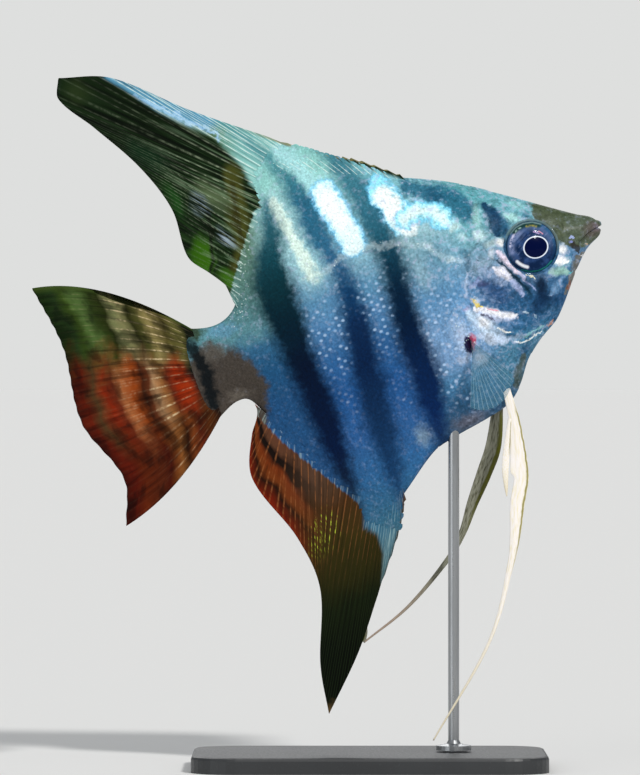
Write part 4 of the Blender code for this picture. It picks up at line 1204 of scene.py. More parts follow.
def eye_material(settings):
    board = Board("wet_eye")
    s, _, h, place = board.fish_place()
    flat = board.joined(s - EYE[0], h - EYE[1])
    away = board.length(flat) / EYE_RADIUS
    cloud = board.noise(place, 0.55, 3.0)
    streaks = board.noise(place, 1.6, 2.0)
    colour = board.mix(board.fade(cloud, 0.4, 0.66), settings.iris_colour, "2c4878")
    # painted light: the outer iris, the eye's rim and a pale haze are painted lighter over the eye's upper
    # half, as if lit from above
    painted_top_light = board.fade(h, -2.5, 2.5)
    colour = board.mix(board.fade(away, 0.5, 0.8) * painted_top_light * 0.6, colour, "5a729c")
    colour = board.mix(board.fade(away, 0.8, 0.88) * 0.8, colour, board.mix(painted_top_light, "123258", "2c5c84"))
    painted_haze = board.noise(board.joined(away * 3, (s * 0.4 + h * 0.7)), 1.3, 4.0)
    colour = board.mix(board.fade(painted_haze, 0.5, 0.7) * painted_top_light * 0.5, colour, "8296c0")
    colour = board.mix(board.fade(away, 0.94, 0.99) * 0.9, colour, "0e2c48")
    ragged = board.fade(streaks, 0.32, 0.52)
    for start, end, radius, width, strength, torn, code in IRIS_AND_GLINT_ARCS:
        mask = board.stroke(flat, arc_path(start, end, radius), width, 0.85) * strength
        colour = board.mix(mask * ragged if torn else mask, colour, code)
    from_pupil = board.vector("SUBTRACT", flat, (*PUPIL, 0))
    reach = board.length(board.vector("DIVIDE", from_pupil, (*PUPIL_SIZE, 1)))
    colour = board.mix(board.fade(reach, RING + 0.06, RING), colour, "e6eefa")
    colour = board.mix(board.fade(reach, 1.04, 0.98), colour, "010a34")
    return board.finish(
        Base_Color=colour,
        Roughness=0.3,
        Specular_IOR_Level=0.02,
        Coat_Weight=0.07,
        Coat_Roughness=0.04,
    )


def make_eyes(settings):
    material, rim = eye_material(settings), orbit_material()
    for name, side in SIDES:
        socket = Matrix.Translation(in_fish(*EYE, side * EYE_DEPTH))
        pose = socket @ Matrix.Rotation(-PITCH, 4, "Y") @ Matrix.Rotation(-side * EYE_YAW, 4, "Z")
        bm = bmesh.new()
        bmesh.ops.create_uvsphere(bm, u_segments=96, v_segments=48, radius=1)
        bmesh.ops.rotate(bm, verts=bm.verts, matrix=Matrix.Rotation(math.pi / 2, 3, "X"))
        for vert in bm.verts:
            away = math.hypot(vert.co.x, vert.co.z)
            vert.co.y *= EYE_FLATNESS * (1 + ring(away, *IRIS_GROOVE))
        bmesh.ops.scale(bm, verts=bm.verts, vec=Vector((EYE_RADIUS, EYE_RADIUS, EYE_RADIUS)) * UNIT)
        bmesh.ops.transform(bm, verts=bm.verts, matrix=pose)
        add_piece(f"eyeball_{name}", bm, material, (f"eye_{name}",))
        add_piece(f"orbit_rim_{name}", orbit_ring(side), rim)


ORBIT_RADIUS, ORBIT_HALF_WIDTH, ORBIT_HALF_RISE = 6.5, 0.42, 0.34
ORBIT_TUCK = 0.14  # how far the fold's inner edge turns down to the eye
ORBIT_STEPS, ORBIT_SIDES = 120, 10


def orbit_ring(side):
    """A fold of skin round the eye, lying on the head."""

    def place(share, column):
        turn, tube = share * 2 * math.pi, column / ORBIT_SIDES * 2 * math.pi
        radius = ORBIT_RADIUS + math.cos(tube) * ORBIT_HALF_WIDTH
        s, h = EYE[0] + math.cos(turn) * radius, EYE[1] + math.sin(turn) * radius
        rise = math.sin(tube) * ORBIT_HALF_RISE
        y = flank(s, h) - SKIN_SUNK + rise - ORBIT_TUCK * (1 - math.cos(tube))
        return in_fish(s, h, side * y)

    return wrapped_sheet(ORBIT_STEPS, ORBIT_SIDES, place)


def orbit_material():
    board = Board("eye_fold")
    s, _, h, place = board.fish_place()
    fine = board.noise(place, 0.9, 3.0)
    colour = board.mix(board.fade(fine, 0.35, 0.65), "183c5c", "3c6a8e")
    colour = board.mix(board.fade(h, 3.5, 7) * 0.7, colour, "6a8684")
    colour = board.mix(board.fade(s, 14, 11) * board.fade(h, -3, 1) * 0.8, colour, "66756c")
    return board.finish(
        Base_Color=colour, Roughness=0.4, Specular_IOR_Level=GLOSS, Coat_Weight=0.3, Coat_Roughness=0.1
    )


# ---------------------------------------------------------------- median fins
RAY_STEPS, FIN_STEPS = 10, 44  # mesh steps from ray to ray, and from base to edge
RAY_WIDTH, FORK_WIDTH = 0.13, 0.09  # of a ray and of a fork's branches, as shares of the way to the next ray
FORK_OFFSET, FORK_HEIGHT = 0.22, 0.7  # how far a fork's branches stand from the ray's middle, and how high
FORKING = (0.45, 0.8)  # where along a ray it forks
RAY_TAPER = 0.45
SPINE_HEIGHT, SPINE_TAPER = 1.5, 0.8
RAY_START = (0.04, 0.24)  # where the rays rise out of the body
SHEATHED_RAYS = 0.6  # how far scales bury the rays
EDGE_START, EDGE_THINNING = 0.96, 0.5  # where the free edge thins, and by what share
SHEATH_RIM = (-0.5, 0.7)  # how softly the scaly patch ends
TAIL_SCALLOP = 0.08  # how far the membrane between the tail's rays falls short
TAIL_MUSCLE, TAIL_MUSCLE_FADE = 0.5, 5  # how much thicker the tail fin's root is, and how soon that fades
TAIL_ROOT = 100


def ray_relief(phase, v, spine):
    """How much of its full height a ray has, at a phase of -0.5 to 0.5 from its middle. Soft rays fork."""
    whole = peak(phase, RAY_WIDTH)
    if spine:
        return whole * (SPINE_HEIGHT - SPINE_TAPER * v)
    forked = FORK_HEIGHT * (peak(phase - FORK_OFFSET, FORK_WIDTH) + peak(phase + FORK_OFFSET, FORK_WIDTH))
    return (whole + (forked - whole) * ease(v, *FORKING)) * (1 - RAY_TAPER * v)


def sheet_fin(name, counts, spines, base, edge, bow, ray_height, material, replaced, thickness=sheath):
    """A fin spread from base(share) to edge(share), with rays on both faces.

    counts holds the number of rays, what turns a count of them into a share, and how scaly a place is.
    """
    rays, to_share, sheathed = counts
    columns = 2 * (FIN_STEPS + 1)

    def place(row, column):
        step = min(column, columns - 1 - column)
        face = 1 if column <= FIN_STEPS else -1
        v = step / FIN_STEPS
        count = row * rays
        share = to_share(count)
        s, h = Vector(base(share)).lerp(Vector(edge(share)), v) + Vector(bow(share, v))
        phase = (count + 0.5) % 1 - 0.5
        bare = (1 - SHEATHED_RAYS * sheathed(s, h)) * ease(v, *RAY_START)
        half = thickness(s, h) + ray_height / UNIT * ray_relief(phase, v, count < spines) * bare
        half *= 1 - EDGE_THINNING * ease(v, EDGE_START, 1)
        return in_fish(s, h, face * half), (count, v, sheathed(s, h))

    bm = wrapped_sheet(rays * RAY_STEPS, columns, place, "ray_place")
    add_piece(name, bm, material, replaced)


def make_median_fin(name, shape, ray_height, material, sheath_outline, replaced):
    tip, spiny, spines, soft = shape["tip"], shape["spiny"], shape["spines"], shape["rays"]

    def to_share(count):
        if count < spines:
            return count / spines * spiny
        return spiny + (count - spines) / soft * (1 - spiny)

    def edge(share):
        """The free edge, with a step back between the spines."""
        if share > tip:
            return along(shape["trailing"], (share - tip) / (1 - tip))
        s, h = along(shape["leading"], share / tip)
        between = 1 - abs(share / spiny * spines % 1 * 2 - 1) if share < spiny else 0
        ray = Vector((s, h)) - Vector(base(share))
        return Vector((s, h)) - ray.normalized() * SPINE_STEP * between

    def base(share):
        return along(shape["base"], share)

    border = [*sheath_outline, sheath_outline[0]]

    @functools.cache
    def sheathed(s, h):
        distance = abs(near(border, s, h))
        return ease(distance if inside(sheath_outline, s, h) else -distance, *SHEATH_RIM)

    def rounded(s, h):
        return sheathed(round(s, 1), round(h, 1))

    counts = (spines + soft, functools.cache(to_share), rounded)
    sheet_fin(name, counts, spines, functools.cache(base), functools.cache(edge), lambda share, v: (0, 0),
              ray_height, material, replaced)  # fmt: skip


def make_tail_fin(ray_height, material):
    @functools.cache
    def base(share):
        return along(TAIL_BASE, share)

    @functools.cache
    def edge(share):
        s, h = along(TAIL_EDGE, share)
        return s + TAIL_SCALLOP * math.sin(share * TAIL_RAYS * math.pi * 2), h

    def bow(share, v):
        return 0, through(TAIL_BULGE, share) * 4 * v * (1 - v)

    def thickness(s, h):
        return WEB + TAIL_MUSCLE * math.exp(-max(s - TAIL_ROOT, 0) / TAIL_MUSCLE_FADE)

    counts = (TAIL_RAYS, lambda count: count / TAIL_RAYS, lambda s, h: 0)
    sheet_fin("tail_fin_web", counts, 0, base, edge, bow, ray_height, material, ("tail_fin",),
              thickness)  # fmt: skip


class FinPaint:
    """What the finishes of the median fins are painted from."""

    def __init__(self, name):
        self.board = board = Board(name)
        self.s, _, self.h, self.place = board.fish_place()
        self.count, self.v, self.sheathed = board.parts(board.named("ray_place"))
        phase = ((self.count + 0.5).call("FRACT") - 0.5).call("ABSOLUTE")
        whole = board.fade(phase, RAY_WIDTH, 0.03)
        fork = board.fade((phase - FORK_OFFSET).call("ABSOLUTE"), FORK_WIDTH, 0.02)
        self.ray = whole + (fork - whole) * board.fade(self.v, FORKING[0], 0.75)
        self.grain = board.noise(board.joined(self.count * 1.1, self.v * 16), 2.0, 3.0)
        self.streak = board.noise(board.joined(self.count * 1.6, self.v * 1.6), 1.6, 4.0)
        patches = board.noise(board.joined(self.count * 0.6, self.v * 7), 2.2, 2.0)
        self.broken = board.fade(patches, 0.4, 0.58)
        self.drift, along_h = board.drift(self.place, 0.16, 4.0)
        self.flat = board.joined(self.s + self.drift * 5, self.h + along_h * 5)

    def ramp(self, value, stops):
        return self.board.node("ShaderNodeValToRGB", {"stops": stops}, (value,))

    def scaly(self, web, paleness, rim):
        """The sheath of scales in the livery's colours, streaked along the rays, over the web and its rim."""
        board = self.board
        edge = board.stroke(board.joined(self.s, self.h), rim, 2.6, 0.8)
        sheath = self.sheathed.call("MAXIMUM", board.fade(edge + self.streak, 0.7, 1.1))
        scaled = livery(board, self.place)
        scaled = board.mix(board.fade(self.streak, 0.5, 0.3) * 0.5, scaled, board.times(scaled, 0.4))
        streaked = board.fade(self.streak, 0.5, 0.72) * (0.1 + paleness * 0.6)
        scaled = board.mix(streaked, scaled, "d6f2ea")
        pale = self.ray * (self.broken * 0.6 + 0.4) * paleness
        return board.mix(sheath, web, board.mix(pale, scaled, "e2f6f0"))

    def finish(self, colour, settings):
        height = self.ray * 0.5 + self.grain * 0.5
        roughness = self.board.fade(self.grain, 0.3, 0.7, 0.55, 0.38)
        normal = self.board.bump(height, 0.00005, 0.6)
        return self.board.wet_finish(colour, roughness, normal, settings.wetness, 0.25)


DORSAL_MARKS = (  # on its web, as for paint
    ("4a4c1c", 0.75, 0.8, ((78.6, 42), (80.4, 35), (81.4, 27), (84.8, 19)), 3.4),
    ("2a280a", 0.8, 0.8, ((79.5, 39), (81.4, 34.5), (81.8, 25.5), (85.2, 17.5)), 1.3),
    ("6c7f5a", 0.5, 0.9, (85, 38), (3.6, 7), -30),
    ("326008", 0.9, 0.6, (92.6, 23.6), (3.6, 7.6), 14),
    ("3c6a14", 0.8, 0.8, (88.2, 17.6), (3.0, 4.0), -10),
    ("060f04", 0.9, 0.8, ((87.2, 34), (89.2, 28), (91.6, 20.6)), 0.9),
    ("10301a", 0.6, 0.9, (97, 52), (9, 4), 52),
    ("1c4a18", 0.7, 0.9, (94.4, 40), (2.4, 7), -8),
    ("2c3a1c", 0.5, 0.9, (108, 73), (5, 4), 45),
)


def dorsal_material(settings):
    fin = FinPaint("dorsal_web")
    board = fin.board
    web = board.mix(board.fade(fin.streak, 0.36, 0.62), "061205", "1a3014")
    streaked = board.fade(fin.v, 0.9, 0.35) * board.fade(fin.streak, 0.52, 0.7)
    web = board.mix(streaked * 0.5, web, "48684a")
    web = board.mix(board.fade(fin.h, 40, 54) * 0.8, web, board.times(web, 0.4))
    web = paint(board, fin.flat, web, DORSAL_MARKS)
    # painted sheen: two streaked grey-blue patches where the web catches the light
    painted_sheen = board.oval(fin.flat, (88.6, 36.6), (3.0, 4.6), -24, 0.9)
    painted_sheen = painted_sheen.call("MAXIMUM", board.oval(fin.flat, (85.6, 27.4), (2.4, 4.4), -24, 0.9))
    web = board.mix(painted_sheen * board.fade(fin.streak, 0.42, 0.62) * 0.8, web, "a4b6c8")
    cream = fin.ray * (board.fade(fin.grain, 0.4, 0.62) * 0.8 + 0.2) * board.fade(fin.count, 11, 13)
    low = board.fade(fin.h, 56, 42, 0.4, 1)
    cream = cream * low * board.fade(fin.count, 34, 24, 0.3, 1) * board.fade(fin.v, 0.95, 0.5, 0.15, 0.6)
    web = board.mix(cream * board.fade(fin.streak, 0.3, 0.6, 0.3, 1), web, "a4b294")
    streaked = board.fade(fin.streak, 0.54, 0.66) * board.fade(fin.v, 0.9, 0.5) * low
    web = board.mix(streaked * 0.35, web, "7c8f74")
    fringe = board.fade(fin.v, 0.86, 0.93) * board.fade(fin.count, 13, 10)
    colour = fin.scaly(web, 0.75, ((76, 29.6), (84, 18.6), (89, 11.0)))
    colour = board.mix(fringe * 0.85, colour, board.mix(fin.streak, "4c4c22", "a8a274"))
    spot = board.oval(board.joined(fin.s, fin.h), (73.1, 39.5), (0.9, 1.1), 0, 0.9)
    colour = board.mix(spot * 0.7, colour, "0c3038")
    return fin.finish(colour, settings)


ANAL_FRONT = (  # (height, colour) of its front part, from the body down
    (-34, "5c4434"), (-42, "4e3218"), (-50, "3e3410"), (-58, "2e2c0c"), (-66, "121a07"), (-76, "050c03"),
    (-86, "070d04"), (-89, "8a6c44"),
)  # fmt: skip
ANAL_REAR = (  # (share of the way out, colour) of its rear part
    (0, "a03c14"), (0.14, "6e4430"), (0.26, "64402c"), (0.34, "180f0b"), (0.44, "1c120c"), (0.54, "7e3612"),
    (0.68, "7a3a14"), (0.78, "2a1408"), (0.88, "5c1c08"), (1, "7c1e06"),
)  # fmt: skip


def anal_material(settings):
    fin = FinPaint("anal_web")
    board = fin.board
    top, low = ANAL_FRONT[0][0], ANAL_FRONT[-1][0]
    height = (fin.h + fin.drift * 8 - top) / (low - top)
    front = fin.ramp(height, [((at - top) / (low - top), code) for at, code in ANAL_FRONT])
    rear = fin.ramp(fin.v + fin.drift * 0.35, ANAL_REAR)
    web = board.mix(board.fade(fin.count, 20, 27) * board.fade(fin.h, -60, -46), front, rear)
    web = board.mix(board.fade(fin.streak, 0.5, 0.3) * 0.55, web, board.times(web, 0.3))
    tan = fin.ray * (fin.broken * 0.7 + 0.2) * board.fade(fin.h, -64, -44) * 0.6
    web = board.mix(tan * 0.7, board.times(web, 0.7), "a8683c")
    dashed = board.fade(fin.grain, 0.48, 0.6)
    green = board.oval(fin.flat, (86.4, -47.6), (4.6, 8), 32, 0.6) * fin.ray * dashed
    web = board.mix(green, web, "b4c43c")
    web = board.mix(fin.ray * board.fade(fin.h, -56, -66) * 0.25, web, "2e4220")
    web = board.mix(board.fade(fin.v, 0.94, 1.0) * board.fade(fin.h, -52, -40) * 0.5, web, "862006")
    return fin.finish(fin.scaly(web, 0.2, ((69, -46.8), (74.5, -43), (87, -23.2), (90.7, -15))), settings)


# Colours across the tail's rays, as (share of the way out, colour), near its top, its middle and its foot
TAIL_TOP = (
    (0, "0e120a"), (0.07, "141a0c"), (0.12, "5e5b2e"), (0.2, "453e1c"), (0.28, "857849"),
    (0.35, "46461f"), (0.42, "23250a"), (0.48, "76744c"), (0.53, "6c7048"), (0.59, "202808"),
    (0.66, "263410"), (0.75, "48602f"), (0.82, "2c3e12"), (0.9, "1b2e12"), (1, "122406"),
)  # fmt: skip
TAIL_MIDDLE = (
    (0, "06090a"), (0.09, "0a0d0e"), (0.12, "3e1a10"), (0.17, "942e0c"), (0.24, "852304"),
    (0.29, "602410"), (0.34, "8a5a30"), (0.4, "93704e"), (0.45, "562a14"), (0.5, "3c1a0a"),
    (0.56, "883c11"), (0.63, "9c5c34"), (0.69, "602410"), (0.76, "6c1c06"), (0.84, "48321a"),
    (0.92, "541505"), (1, "421004"),
)  # fmt: skip
TAIL_FOOT = (
    (0, "1c100a"), (0.1, "4e270b"), (0.2, "4c1a09"), (0.28, "6f3614"), (0.35, "341604"), (0.42, "73451f"),
    (0.48, "5c2f10"), (0.56, "3c0d03"), (0.65, "4a1b08"), (0.8, "531c06"), (0.9, "4c1004"), (1, "3a0a02"),
)  # fmt: skip


def tail_material(settings):
    fin = FinPaint("tail_web")
    board = fin.board
    out = fin.v + fin.drift * 0.16
    row = fin.count + fin.drift * 6
    web = board.mix(board.fade(row, 5.2, 8.6), fin.ramp(out, TAIL_TOP), fin.ramp(out, TAIL_MIDDLE))
    web = board.mix(board.fade(row, 11.5, 15), web, fin.ramp(out, TAIL_FOOT))
    blotches = board.noise(board.joined(fin.count * 0.5, fin.v * 7), 1.0, 4.0)
    web = board.mix(board.fade(blotches, 0.5, 0.36) * 0.7, web, board.times(web, 0.25))
    web = board.mix(board.fade(blotches, 0.54, 0.7) * 0.6, web, board.times(web, 1.7))
    web = board.mix(board.fade(fin.streak, 0.54, 0.3) * 0.75, web, board.times(web, 0.3))
    light = board.fade(board.light(web), 0.03, 0.12, 0.08, 1.0)
    dashes = fin.ray * (board.fade(fin.grain, 0.4, 0.62) * 0.85 + 0.15) * light
    web = board.mix(dashes * board.fade(fin.v, 0.75, 0.35, 0.1, 0.7), web, "dcc49a")
    web = board.mix(board.fade(fin.count, 0.7, 0.1) * 0.7, web, "3a4c1c")
    return fin.finish(web, settings)


def make_fins(settings):
    rays = settings.ray_height
    dorsal, anal = dorsal_material(settings), anal_material(settings)
    make_median_fin("dorsal_fin_web", DORSAL, rays, dorsal, DORSAL_SHEATH, ("dorsal_fin",))
    make_median_fin("anal_fin_web", ANAL, rays, anal, ANAL_SHEATH, ("anal_fin",))
    make_tail_fin(rays, tail_material(settings))


# ---------------------------------------------------------------- pelvic and pectoral fins
NOTCH = (0.06, 0.165, 0.18)  # where the right pelvic fin's front edge swells, and where it steps back
NOTCH_SWELL = 0.55
FLUTES, FLUTE_DEPTH = 7, 0.16  # the rays of a pelvic fin
FLUTES_START, FLUTES_END = (0, 0.1), (0.75, 0.5)
RIBBON_ROUNDNESS = 0.8  # the most that a thread is thick, as a share of its width


def pelvic_ribbon(path, widths, notch=None, rows=150, columns=28, thick=0.36):
    """A pelvic fin: an oval ribbon, fluted by its rays, that thins out to a thread."""

    def place(share, column):
        s, h, y = along(path, share)
        ahead = Vector(along(path, min(share + 0.01, 1))) - Vector(along(path, max(share - 0.01, 0)))
        across = Vector((ahead[1], -ahead[0])).normalized()
        turn = 2 * math.pi * (column + 0.5) / columns
        wide = through(widths, share)
        flute = FLUTE_DEPTH * math.cos(turn * FLUTES)
        flute = 1 + flute * ease(share, *FLUTES_START) * ease(share, *FLUTES_END)
        offset, deep = wide * math.cos(turn), min(thick, wide * RIBBON_ROUNDNESS) * math.sin(turn) * flute
        if notch and offset < 0:
            offset *= 1 + NOTCH_SWELL * ease(share, notch[0], notch[1]) * ease(share, notch[2], notch[1])
        return in_fish(s + across.x * offset, h + across.y * offset, y + deep), (share, math.cos(turn), 0)

    return wrapped_sheet(rows, columns, place, "ribbon_place")


def pelvic_material(name, settings, pale, dark, slit):
    """slit holds where the groove lies across the fin, from -1 at its front, its half width, and the colours
    of the groove and of the fin's tip."""
    board = Board(name)
    place = board.fish_place()[-1]
    share, across, _ = board.parts(board.named("ribbon_place"))
    fine = board.noise(board.joined(across * 3, share * 22), 1.4, 3.0)
    colour = board.mix(board.fade(fine, 0.4, 0.72), pale, dark)
    away = (across + board.noise(place, 0.5) * 0.3 - slit[0] - 0.15).call("ABSOLUTE")
    groove = board.fade(away, slit[1], slit[1] * 0.4)
    groove = groove * board.fade(share, 0.5, 0.3) * board.fade(share, 0.02, 0.06)
    colour = board.mix(groove * 0.9, colour, board.mix(fine, slit[2], "6c6c14"))
    colour = board.mix(board.fade(share, 0.55, 0.95) * 0.6, colour, slit[3])
    return board.wet_finish(colour, 0.45, board.bump(fine, 0.00005, 0.5), settings.wetness)


def make_pelvic_fins(settings):
    near_slit, far_slit = (0.82, 0.2, "a89a50", "dccfa8"), (0.7, 0.4, "24280f", "c8ac9c")
    near_finish = pelvic_material("white_pelvic", settings, "f4eeea", "ece2c4", near_slit)
    far_finish = pelvic_material("brown_pelvic", settings, "8c8c7c", "4c4c38", far_slit)
    right = pelvic_ribbon(RIGHT_PELVIC, RIGHT_PELVIC_WIDTH, NOTCH)
    lobe = pelvic_ribbon(REAR_LOBE, REAR_LOBE_WIDTH, rows=60, columns=20, thick=0.3)
    left = pelvic_ribbon(LEFT_PELVIC, LEFT_PELVIC_WIDTH)
    barb = pelvic_ribbon(LEFT_BARB, LEFT_BARB_WIDTH, rows=24, columns=12, thick=0.2)
    replaced = {side: (f"pelvic_fin_{side}", f"pelvic_filament_{side}") for side, _ in SIDES}
    add_piece("pelvic_ribbon_right", right, near_finish, replaced["right"])
    add_piece("pelvic_lobe_right", lobe, near_finish)
    add_piece("pelvic_ribbon_left", left, far_finish, replaced["left"])
    add_piece("pelvic_barb_left", barb, far_finish)


def pectoral_material():
    board = Board("clear_pectoral")
    count, v, _ = board.parts(board.named("ray_place"))
    phase = ((count + 0.5).call("FRACT") - 0.5).call("ABSOLUTE")
    ray = board.fade(phase, 0.16, 0.05)
    root = board.fade(v, 0.1, 0.03)
    colour = board.mix(ray * 0.6, "4f8198", "a4c4d0")
    colour = board.mix(root, colour, "1c1438")
    alpha = (ray * board.fade(v, 1.0, 0.2, 0.06, 0.16) + 0.3).call("MAXIMUM", root)
    return board.finish(Base_Color=colour, Roughness=0.35, Specular_IOR_Level=GLOSS, Alpha=alpha)


def make_pectoral_fins():
    material = pectoral_material()
    columns = 2 * (PECTORAL_STEPS + 1)
    for name, side in SIDES:

        def place(share, column, side=side):
            step = min(column, columns - 1 - column)
            face = 1 if column <= PECTORAL_STEPS else -1
            v = step / PECTORAL_STEPS
            turn = PECTORAL_SPREAD[0] + (PECTORAL_SPREAD[1] - PECTORAL_SPREAD[0]) * share
            longest = 1 - PECTORAL_ROUNDING + PECTORAL_ROUNDING * math.sin(math.pi * share)
            reach = v * PECTORAL_REACH * longest
            root = PECTORAL_ROOT + Vector((0, (share - 0.5) * PECTORAL_ROOT_HEIGHT, 0))
            s = root.x - math.cos(turn) * reach * math.cos(PECTORAL_OUTWARD)
            h = root.y + math.sin(turn) * reach * math.cos(PECTORAL_OUTWARD)
            y = root.z + math.sin(PECTORAL_OUTWARD) * reach
            count = share * PECTORAL_RAYS
            phase = (count + 0.5) % 1 - 0.5
            half = PECTORAL_WEB + PECTORAL_RAY * ray_relief(phase, v, False)
            half += PECTORAL_MUSCLE * (1 - ease(v, 0, PECTORAL_MUSCLE_END))
            off_h, off_y = math.sin(PECTORAL_OUTWARD) * face * half, math.cos(PECTORAL_OUTWARD) * face * half
            return in_fish(s, h + off_h, side * (y + off_y)), (count, v, 0)

        bm = wrapped_sheet(PECTORAL_RAYS * RAY_STEPS, columns, place, "ray_place")
        add_piece(f"pectoral_web_{name}", bm, material, (f"pectoral_fin_{name}",))


# ---------------------------------------------------------------- the stand
def finish_stand(settings):
    board = Board("powder_coat")
    at = board.node("ShaderNodeTexCoord", None, (), "Object")
    fleck = board.noise(at, 2600, 3.0)
    broad = board.noise(at, 60, 2.0)
    dark = board.times(settings.base_colour, 0.75)
    colour = board.mix(board.fade(broad, 0.35, 0.7), dark, settings.base_colour)
    coat = board.finish(
        Base_Color=board.mix(board.fade(fleck, 0.6, 0.75) * 0.3, colour, "4a4c4e"),
        Roughness=board.fade(fleck, 0.3, 0.7, 0.5, 0.38),
        Normal=board.bump(fleck, 0.00004, 0.5),
    )
    steel = Board("brushed_steel")
    at = steel.node("ShaderNodeTexCoord", None, (), "Object")
    drawn = steel.node("ShaderNodeMapping", None, {"Vector": at, "Scale": (1, 1, 0.05)})
    brushed = steel.noise(drawn, 900, 3.0)
    metal = steel.finish(
        Base_Color=steel.mix(brushed, "8f9294", settings.rod_colour),
        Roughness=steel.fade(brushed, 0.3, 0.7, 0.36, 0.24),
        Metallic=1.0,
    )
    for node, material in (("stand_base", coat), ("stand_rod", metal)):
        mesh = frame["nodes"][node].data
        mesh.materials.clear()
        mesh.materials.append(material)


# ---------------------------------------------------------------- the studio
LENS_DISTANCE = 1.2
VIEW_HEIGHT = 0.1399  # of the frame, at the fish
AIM = Vector((-0.00893, 0, 0.06875))
SENSOR = 36
FILL, RIM = 0.55, 0.9  # the strengths of the lamps beside the key
LIGHTS = (  # wide, distant lamps, as (name, where from, width in degrees, colour)
    ("key", (0.42, -0.75, 0.62), 7, (1, 0.985, 0.96)),
    ("fill", (-0.7, -0.6, 0.25), 40, (0.93, 0.97, 1)),
    ("rim", (-0.1, 0.7, 0.6), 50, (1, 1, 1)),
)
AMBIENT_COLOUR = (0.94, 0.97, 1, 1)


def add_light(scene, name, place, angle, strength, colour):
    data = bpy.data.lights.new(name, "SUN")
    data.energy = strength
    data.color = colour
    data.angle = math.radians(angle)
    light = bpy.data.objects.new(name, data)
    scene.collection.objects.link(light)
    light.rotation_euler = (-Vector(place)).to_track_quat("-Z", "Y").to_euler()


def make_floor(scene, settings):
    bm = bmesh.new()
    bmesh.ops.create_grid(bm, x_segments=8, y_segments=8, size=settings.floor_size / 2)
    mesh = bpy.data.meshes.new("studio_floor")
    bm.to_mesh(mesh)
    bm.free()
    floor = bpy.data.objects.new("studio_floor", mesh)
    scene.collection.objects.link(floor)
    board = Board("pale_floor")
    board.finish(Base_Color=settings.floor_colour, Roughness=0.9, Specular_IOR_Level=0.0)
    mesh.materials.append(board.material)


def make_world(scene, settings):
    """Soft light from all round, in front of a plain backdrop."""
    world = bpy.data.worlds.new("studio_world")
    world.use_nodes = True
    tree = world.node_tree
    ambient = tree.nodes["Background"]
    ambient.inputs["Color"].default_value = AMBIENT_COLOUR
    ambient.inputs["Strength"].default_value = settings.ambient_strength
    backdrop = tree.nodes.new("ShaderNodeBackground")
    backdrop.inputs["Color"].default_value = settings.backdrop_colour
    chosen = tree.nodes.new("ShaderNodeMixShader")
    seen = tree.nodes.new("ShaderNodeLightPath")
    tree.links.new(seen.outputs["Is Camera Ray"], chosen.inputs[0])
    tree.links.new(ambient.outputs[0], chosen.inputs[1])
    tree.links.new(backdrop.outputs[0], chosen.inputs[2])
    tree.links.new(chosen.outputs[0], tree.nodes["World Output"].inputs["Surface"])
    scene.world = world


def add_camera(scene):
    data = bpy.data.cameras.new("camera")
    data.sensor_width = SENSOR
    data.lens = SENSOR * LENS_DISTANCE / VIEW_HEIGHT
    camera = bpy.data.objects.new("camera", data)
    scene.collection.objects.link(camera)
    camera.location = AIM + Vector((0, -LENS_DISTANCE, 0))
    camera.rotation_euler = (math.pi / 2, 0, 0)
    scene.camera = camera


def make_studio(settings):
    scene = bpy.context.scene
    make_floor(scene, settings)
    make_world(scene, settings)
    for (name, place, angle, colour), strength in zip(LIGHTS, (settings.key_strength, FILL, RIM)):
        add_light(scene, name, place, angle, strength, colour)
    add_camera(scene)
    scene.view_settings.view_transform = "Standard"


# ---------------------------------------------------------------- the add-on
def colour_property(name, description, code):
    default = tint(code)
    return bpy.props.FloatVectorProperty(
        name=name, description=description, default=default, size=4, min=0, max=1, subtype="COLOR"
    )


class FishSettings(bpy.types.PropertyGroup):
    """The sizes and colours of the fish's surface that a user would change."""

    scale_lift: bpy.props.FloatProperty(
        name="Scale lift", description="How far a flank scale's free edge stands off the skin",
        default=0.00006, min=0, unit="LENGTH",
    )  # fmt: skip
    ray_height: bpy.props.FloatProperty(
        name="Ray height", description="How far the rays stand off the median fins",
        default=0.00012, min=0, unit="LENGTH",
    )  # fmt: skip
    wetness: bpy.props.FloatProperty(
        name="Wetness", description="Strength of the glossy film over skin, scales and fins",
        default=0.04, min=0, max=1, subtype="FACTOR",
    )  # fmt: skip
    iris_colour: colour_property("Iris", "Main colour of the iris", "0b2347")


class DisplaySettings(bpy.types.PropertyGroup):
    """The sizes and colours of the stand and the studio."""

    base_colour: colour_property("Base", "Powder coat of the stand's base", "303234")
    rod_colour: colour_property("Rod", "Metal of the stand's rod", "c4c6c8")
    floor_colour: colour_property("Floor", "Studio floor", "e7e7e6")
    backdrop_colour: colour_property("Backdrop", "Studio background", "dedfde")
    floor_size: bpy.props.FloatProperty(
        name="Floor size", description="Width of the studio floor", default=400.0, min=1, unit="LENGTH"
    )
    key_strength: bpy.props.FloatProperty(
        name="Key light", description="Strength of the main light", default=2.2, min=0
    )
    ambient_strength: bpy.props.FloatProperty(
        name="Ambient light", description="Strength of the light from all round", default=0.3, min=0
    )


class ANGELFISH_OT_skin(bpy.types.Operator):
    """Build the one skin of the head, jaws, gill covers, trunk and tail stem"""

    bl_idname = "angelfish.skin"
    bl_label = "Skin"

    def execute(self, context):
        make_skin(context.scene.angelfish)
        return {"FINISHED"}


class ANGELFISH_OT_scales(bpy.types.Operator):
    """Lay the scales over the skin and the sheaths of the fins"""

    bl_idname = "angelfish.scales"
    bl_label = "Scales"

    def execute(self, context):
        make_scales(context.scene.angelfish)
        return {"FINISHED"}


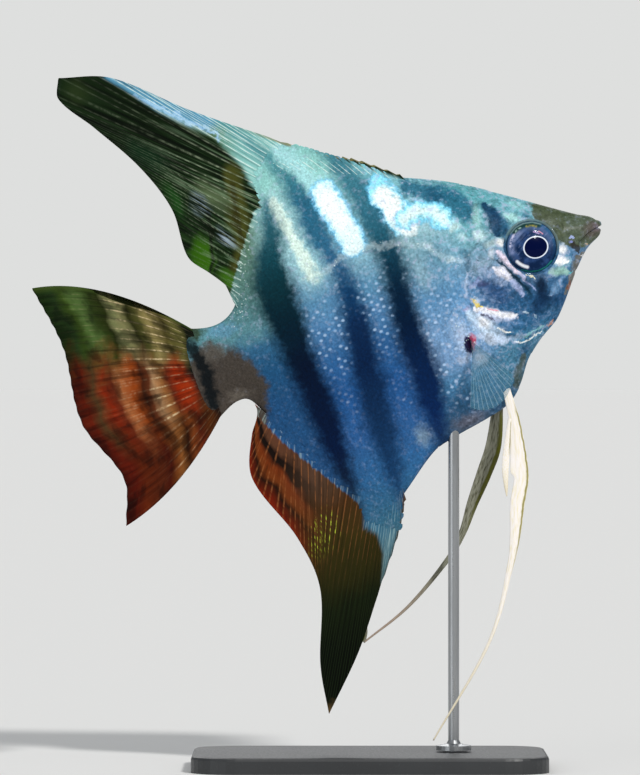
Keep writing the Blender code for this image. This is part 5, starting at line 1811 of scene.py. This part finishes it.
class ANGELFISH_OT_eyes(bpy.types.Operator):
    """Build both eyes and the folds of skin round them"""

    bl_idname = "angelfish.eyes"
    bl_label = "Eyes"

    def execute(self, context):
        make_eyes(context.scene.angelfish)
        return {"FINISHED"}


class ANGELFISH_OT_median_fins(bpy.types.Operator):
    """Build the dorsal, anal and tail fins"""

    bl_idname = "angelfish.median_fins"
    bl_label = "Median fins"

    def execute(self, context):
        make_fins(context.scene.angelfish)
        return {"FINISHED"}


class ANGELFISH_OT_paired_fins(bpy.types.Operator):
    """Build the pelvic and pectoral fins"""

    bl_idname = "angelfish.paired_fins"
    bl_label = "Paired fins"

    def execute(self, context):
        make_pelvic_fins(context.scene.angelfish)
        make_pectoral_fins()
        return {"FINISHED"}


class ANGELFISH_OT_stand(bpy.types.Operator):
    """Finish the stand's base and rod"""

    bl_idname = "angelfish.stand"
    bl_label = "Stand"

    def execute(self, context):
        finish_stand(context.scene.angelfish_display)
        return {"FINISHED"}


class ANGELFISH_OT_studio(bpy.types.Operator):
    """Set the floor, the lights and the camera"""

    bl_idname = "angelfish.studio"
    bl_label = "Studio"

    def execute(self, context):
        make_studio(context.scene.angelfish_display)
        return {"FINISHED"}


OPERATORS = (
    ANGELFISH_OT_skin,
    ANGELFISH_OT_scales,
    ANGELFISH_OT_eyes,
    ANGELFISH_OT_median_fins,
    ANGELFISH_OT_paired_fins,
    ANGELFISH_OT_stand,
    ANGELFISH_OT_studio,
)


class ANGELFISH_PT_panel(bpy.types.Panel):
    """The model's settings and its pieces, in the order they are built"""

    bl_idname = "ANGELFISH_PT_panel"
    bl_label = "Angelfish"
    bl_space_type = "VIEW_3D"
    bl_region_type = "UI"
    bl_category = "Angelfish"

    def draw(self, context):
        for group in (context.scene.angelfish, context.scene.angelfish_display):
            for name in type(group).__annotations__:
                self.layout.prop(group, name)
        for operator in OPERATORS:
            self.layout.operator(operator.bl_idname)


def register():
    for cls in (FishSettings, DisplaySettings, *OPERATORS, ANGELFISH_PT_panel):
        bpy.utils.register_class(cls)
    bpy.types.Scene.angelfish = bpy.props.PointerProperty(type=FishSettings)
    bpy.types.Scene.angelfish_display = bpy.props.PointerProperty(type=DisplaySettings)


def unregister():
    del bpy.types.Scene.angelfish
    del bpy.types.Scene.angelfish_display
    for cls in (ANGELFISH_PT_panel, *reversed(OPERATORS), DisplaySettings, FishSettings):
        bpy.utils.unregister_class(cls)


def main():
    register()
    for operator in OPERATORS:
        group, name = operator.bl_idname.split(".")
        getattr(getattr(bpy.ops, group), name)()


if __name__ == "__main__":
    main()
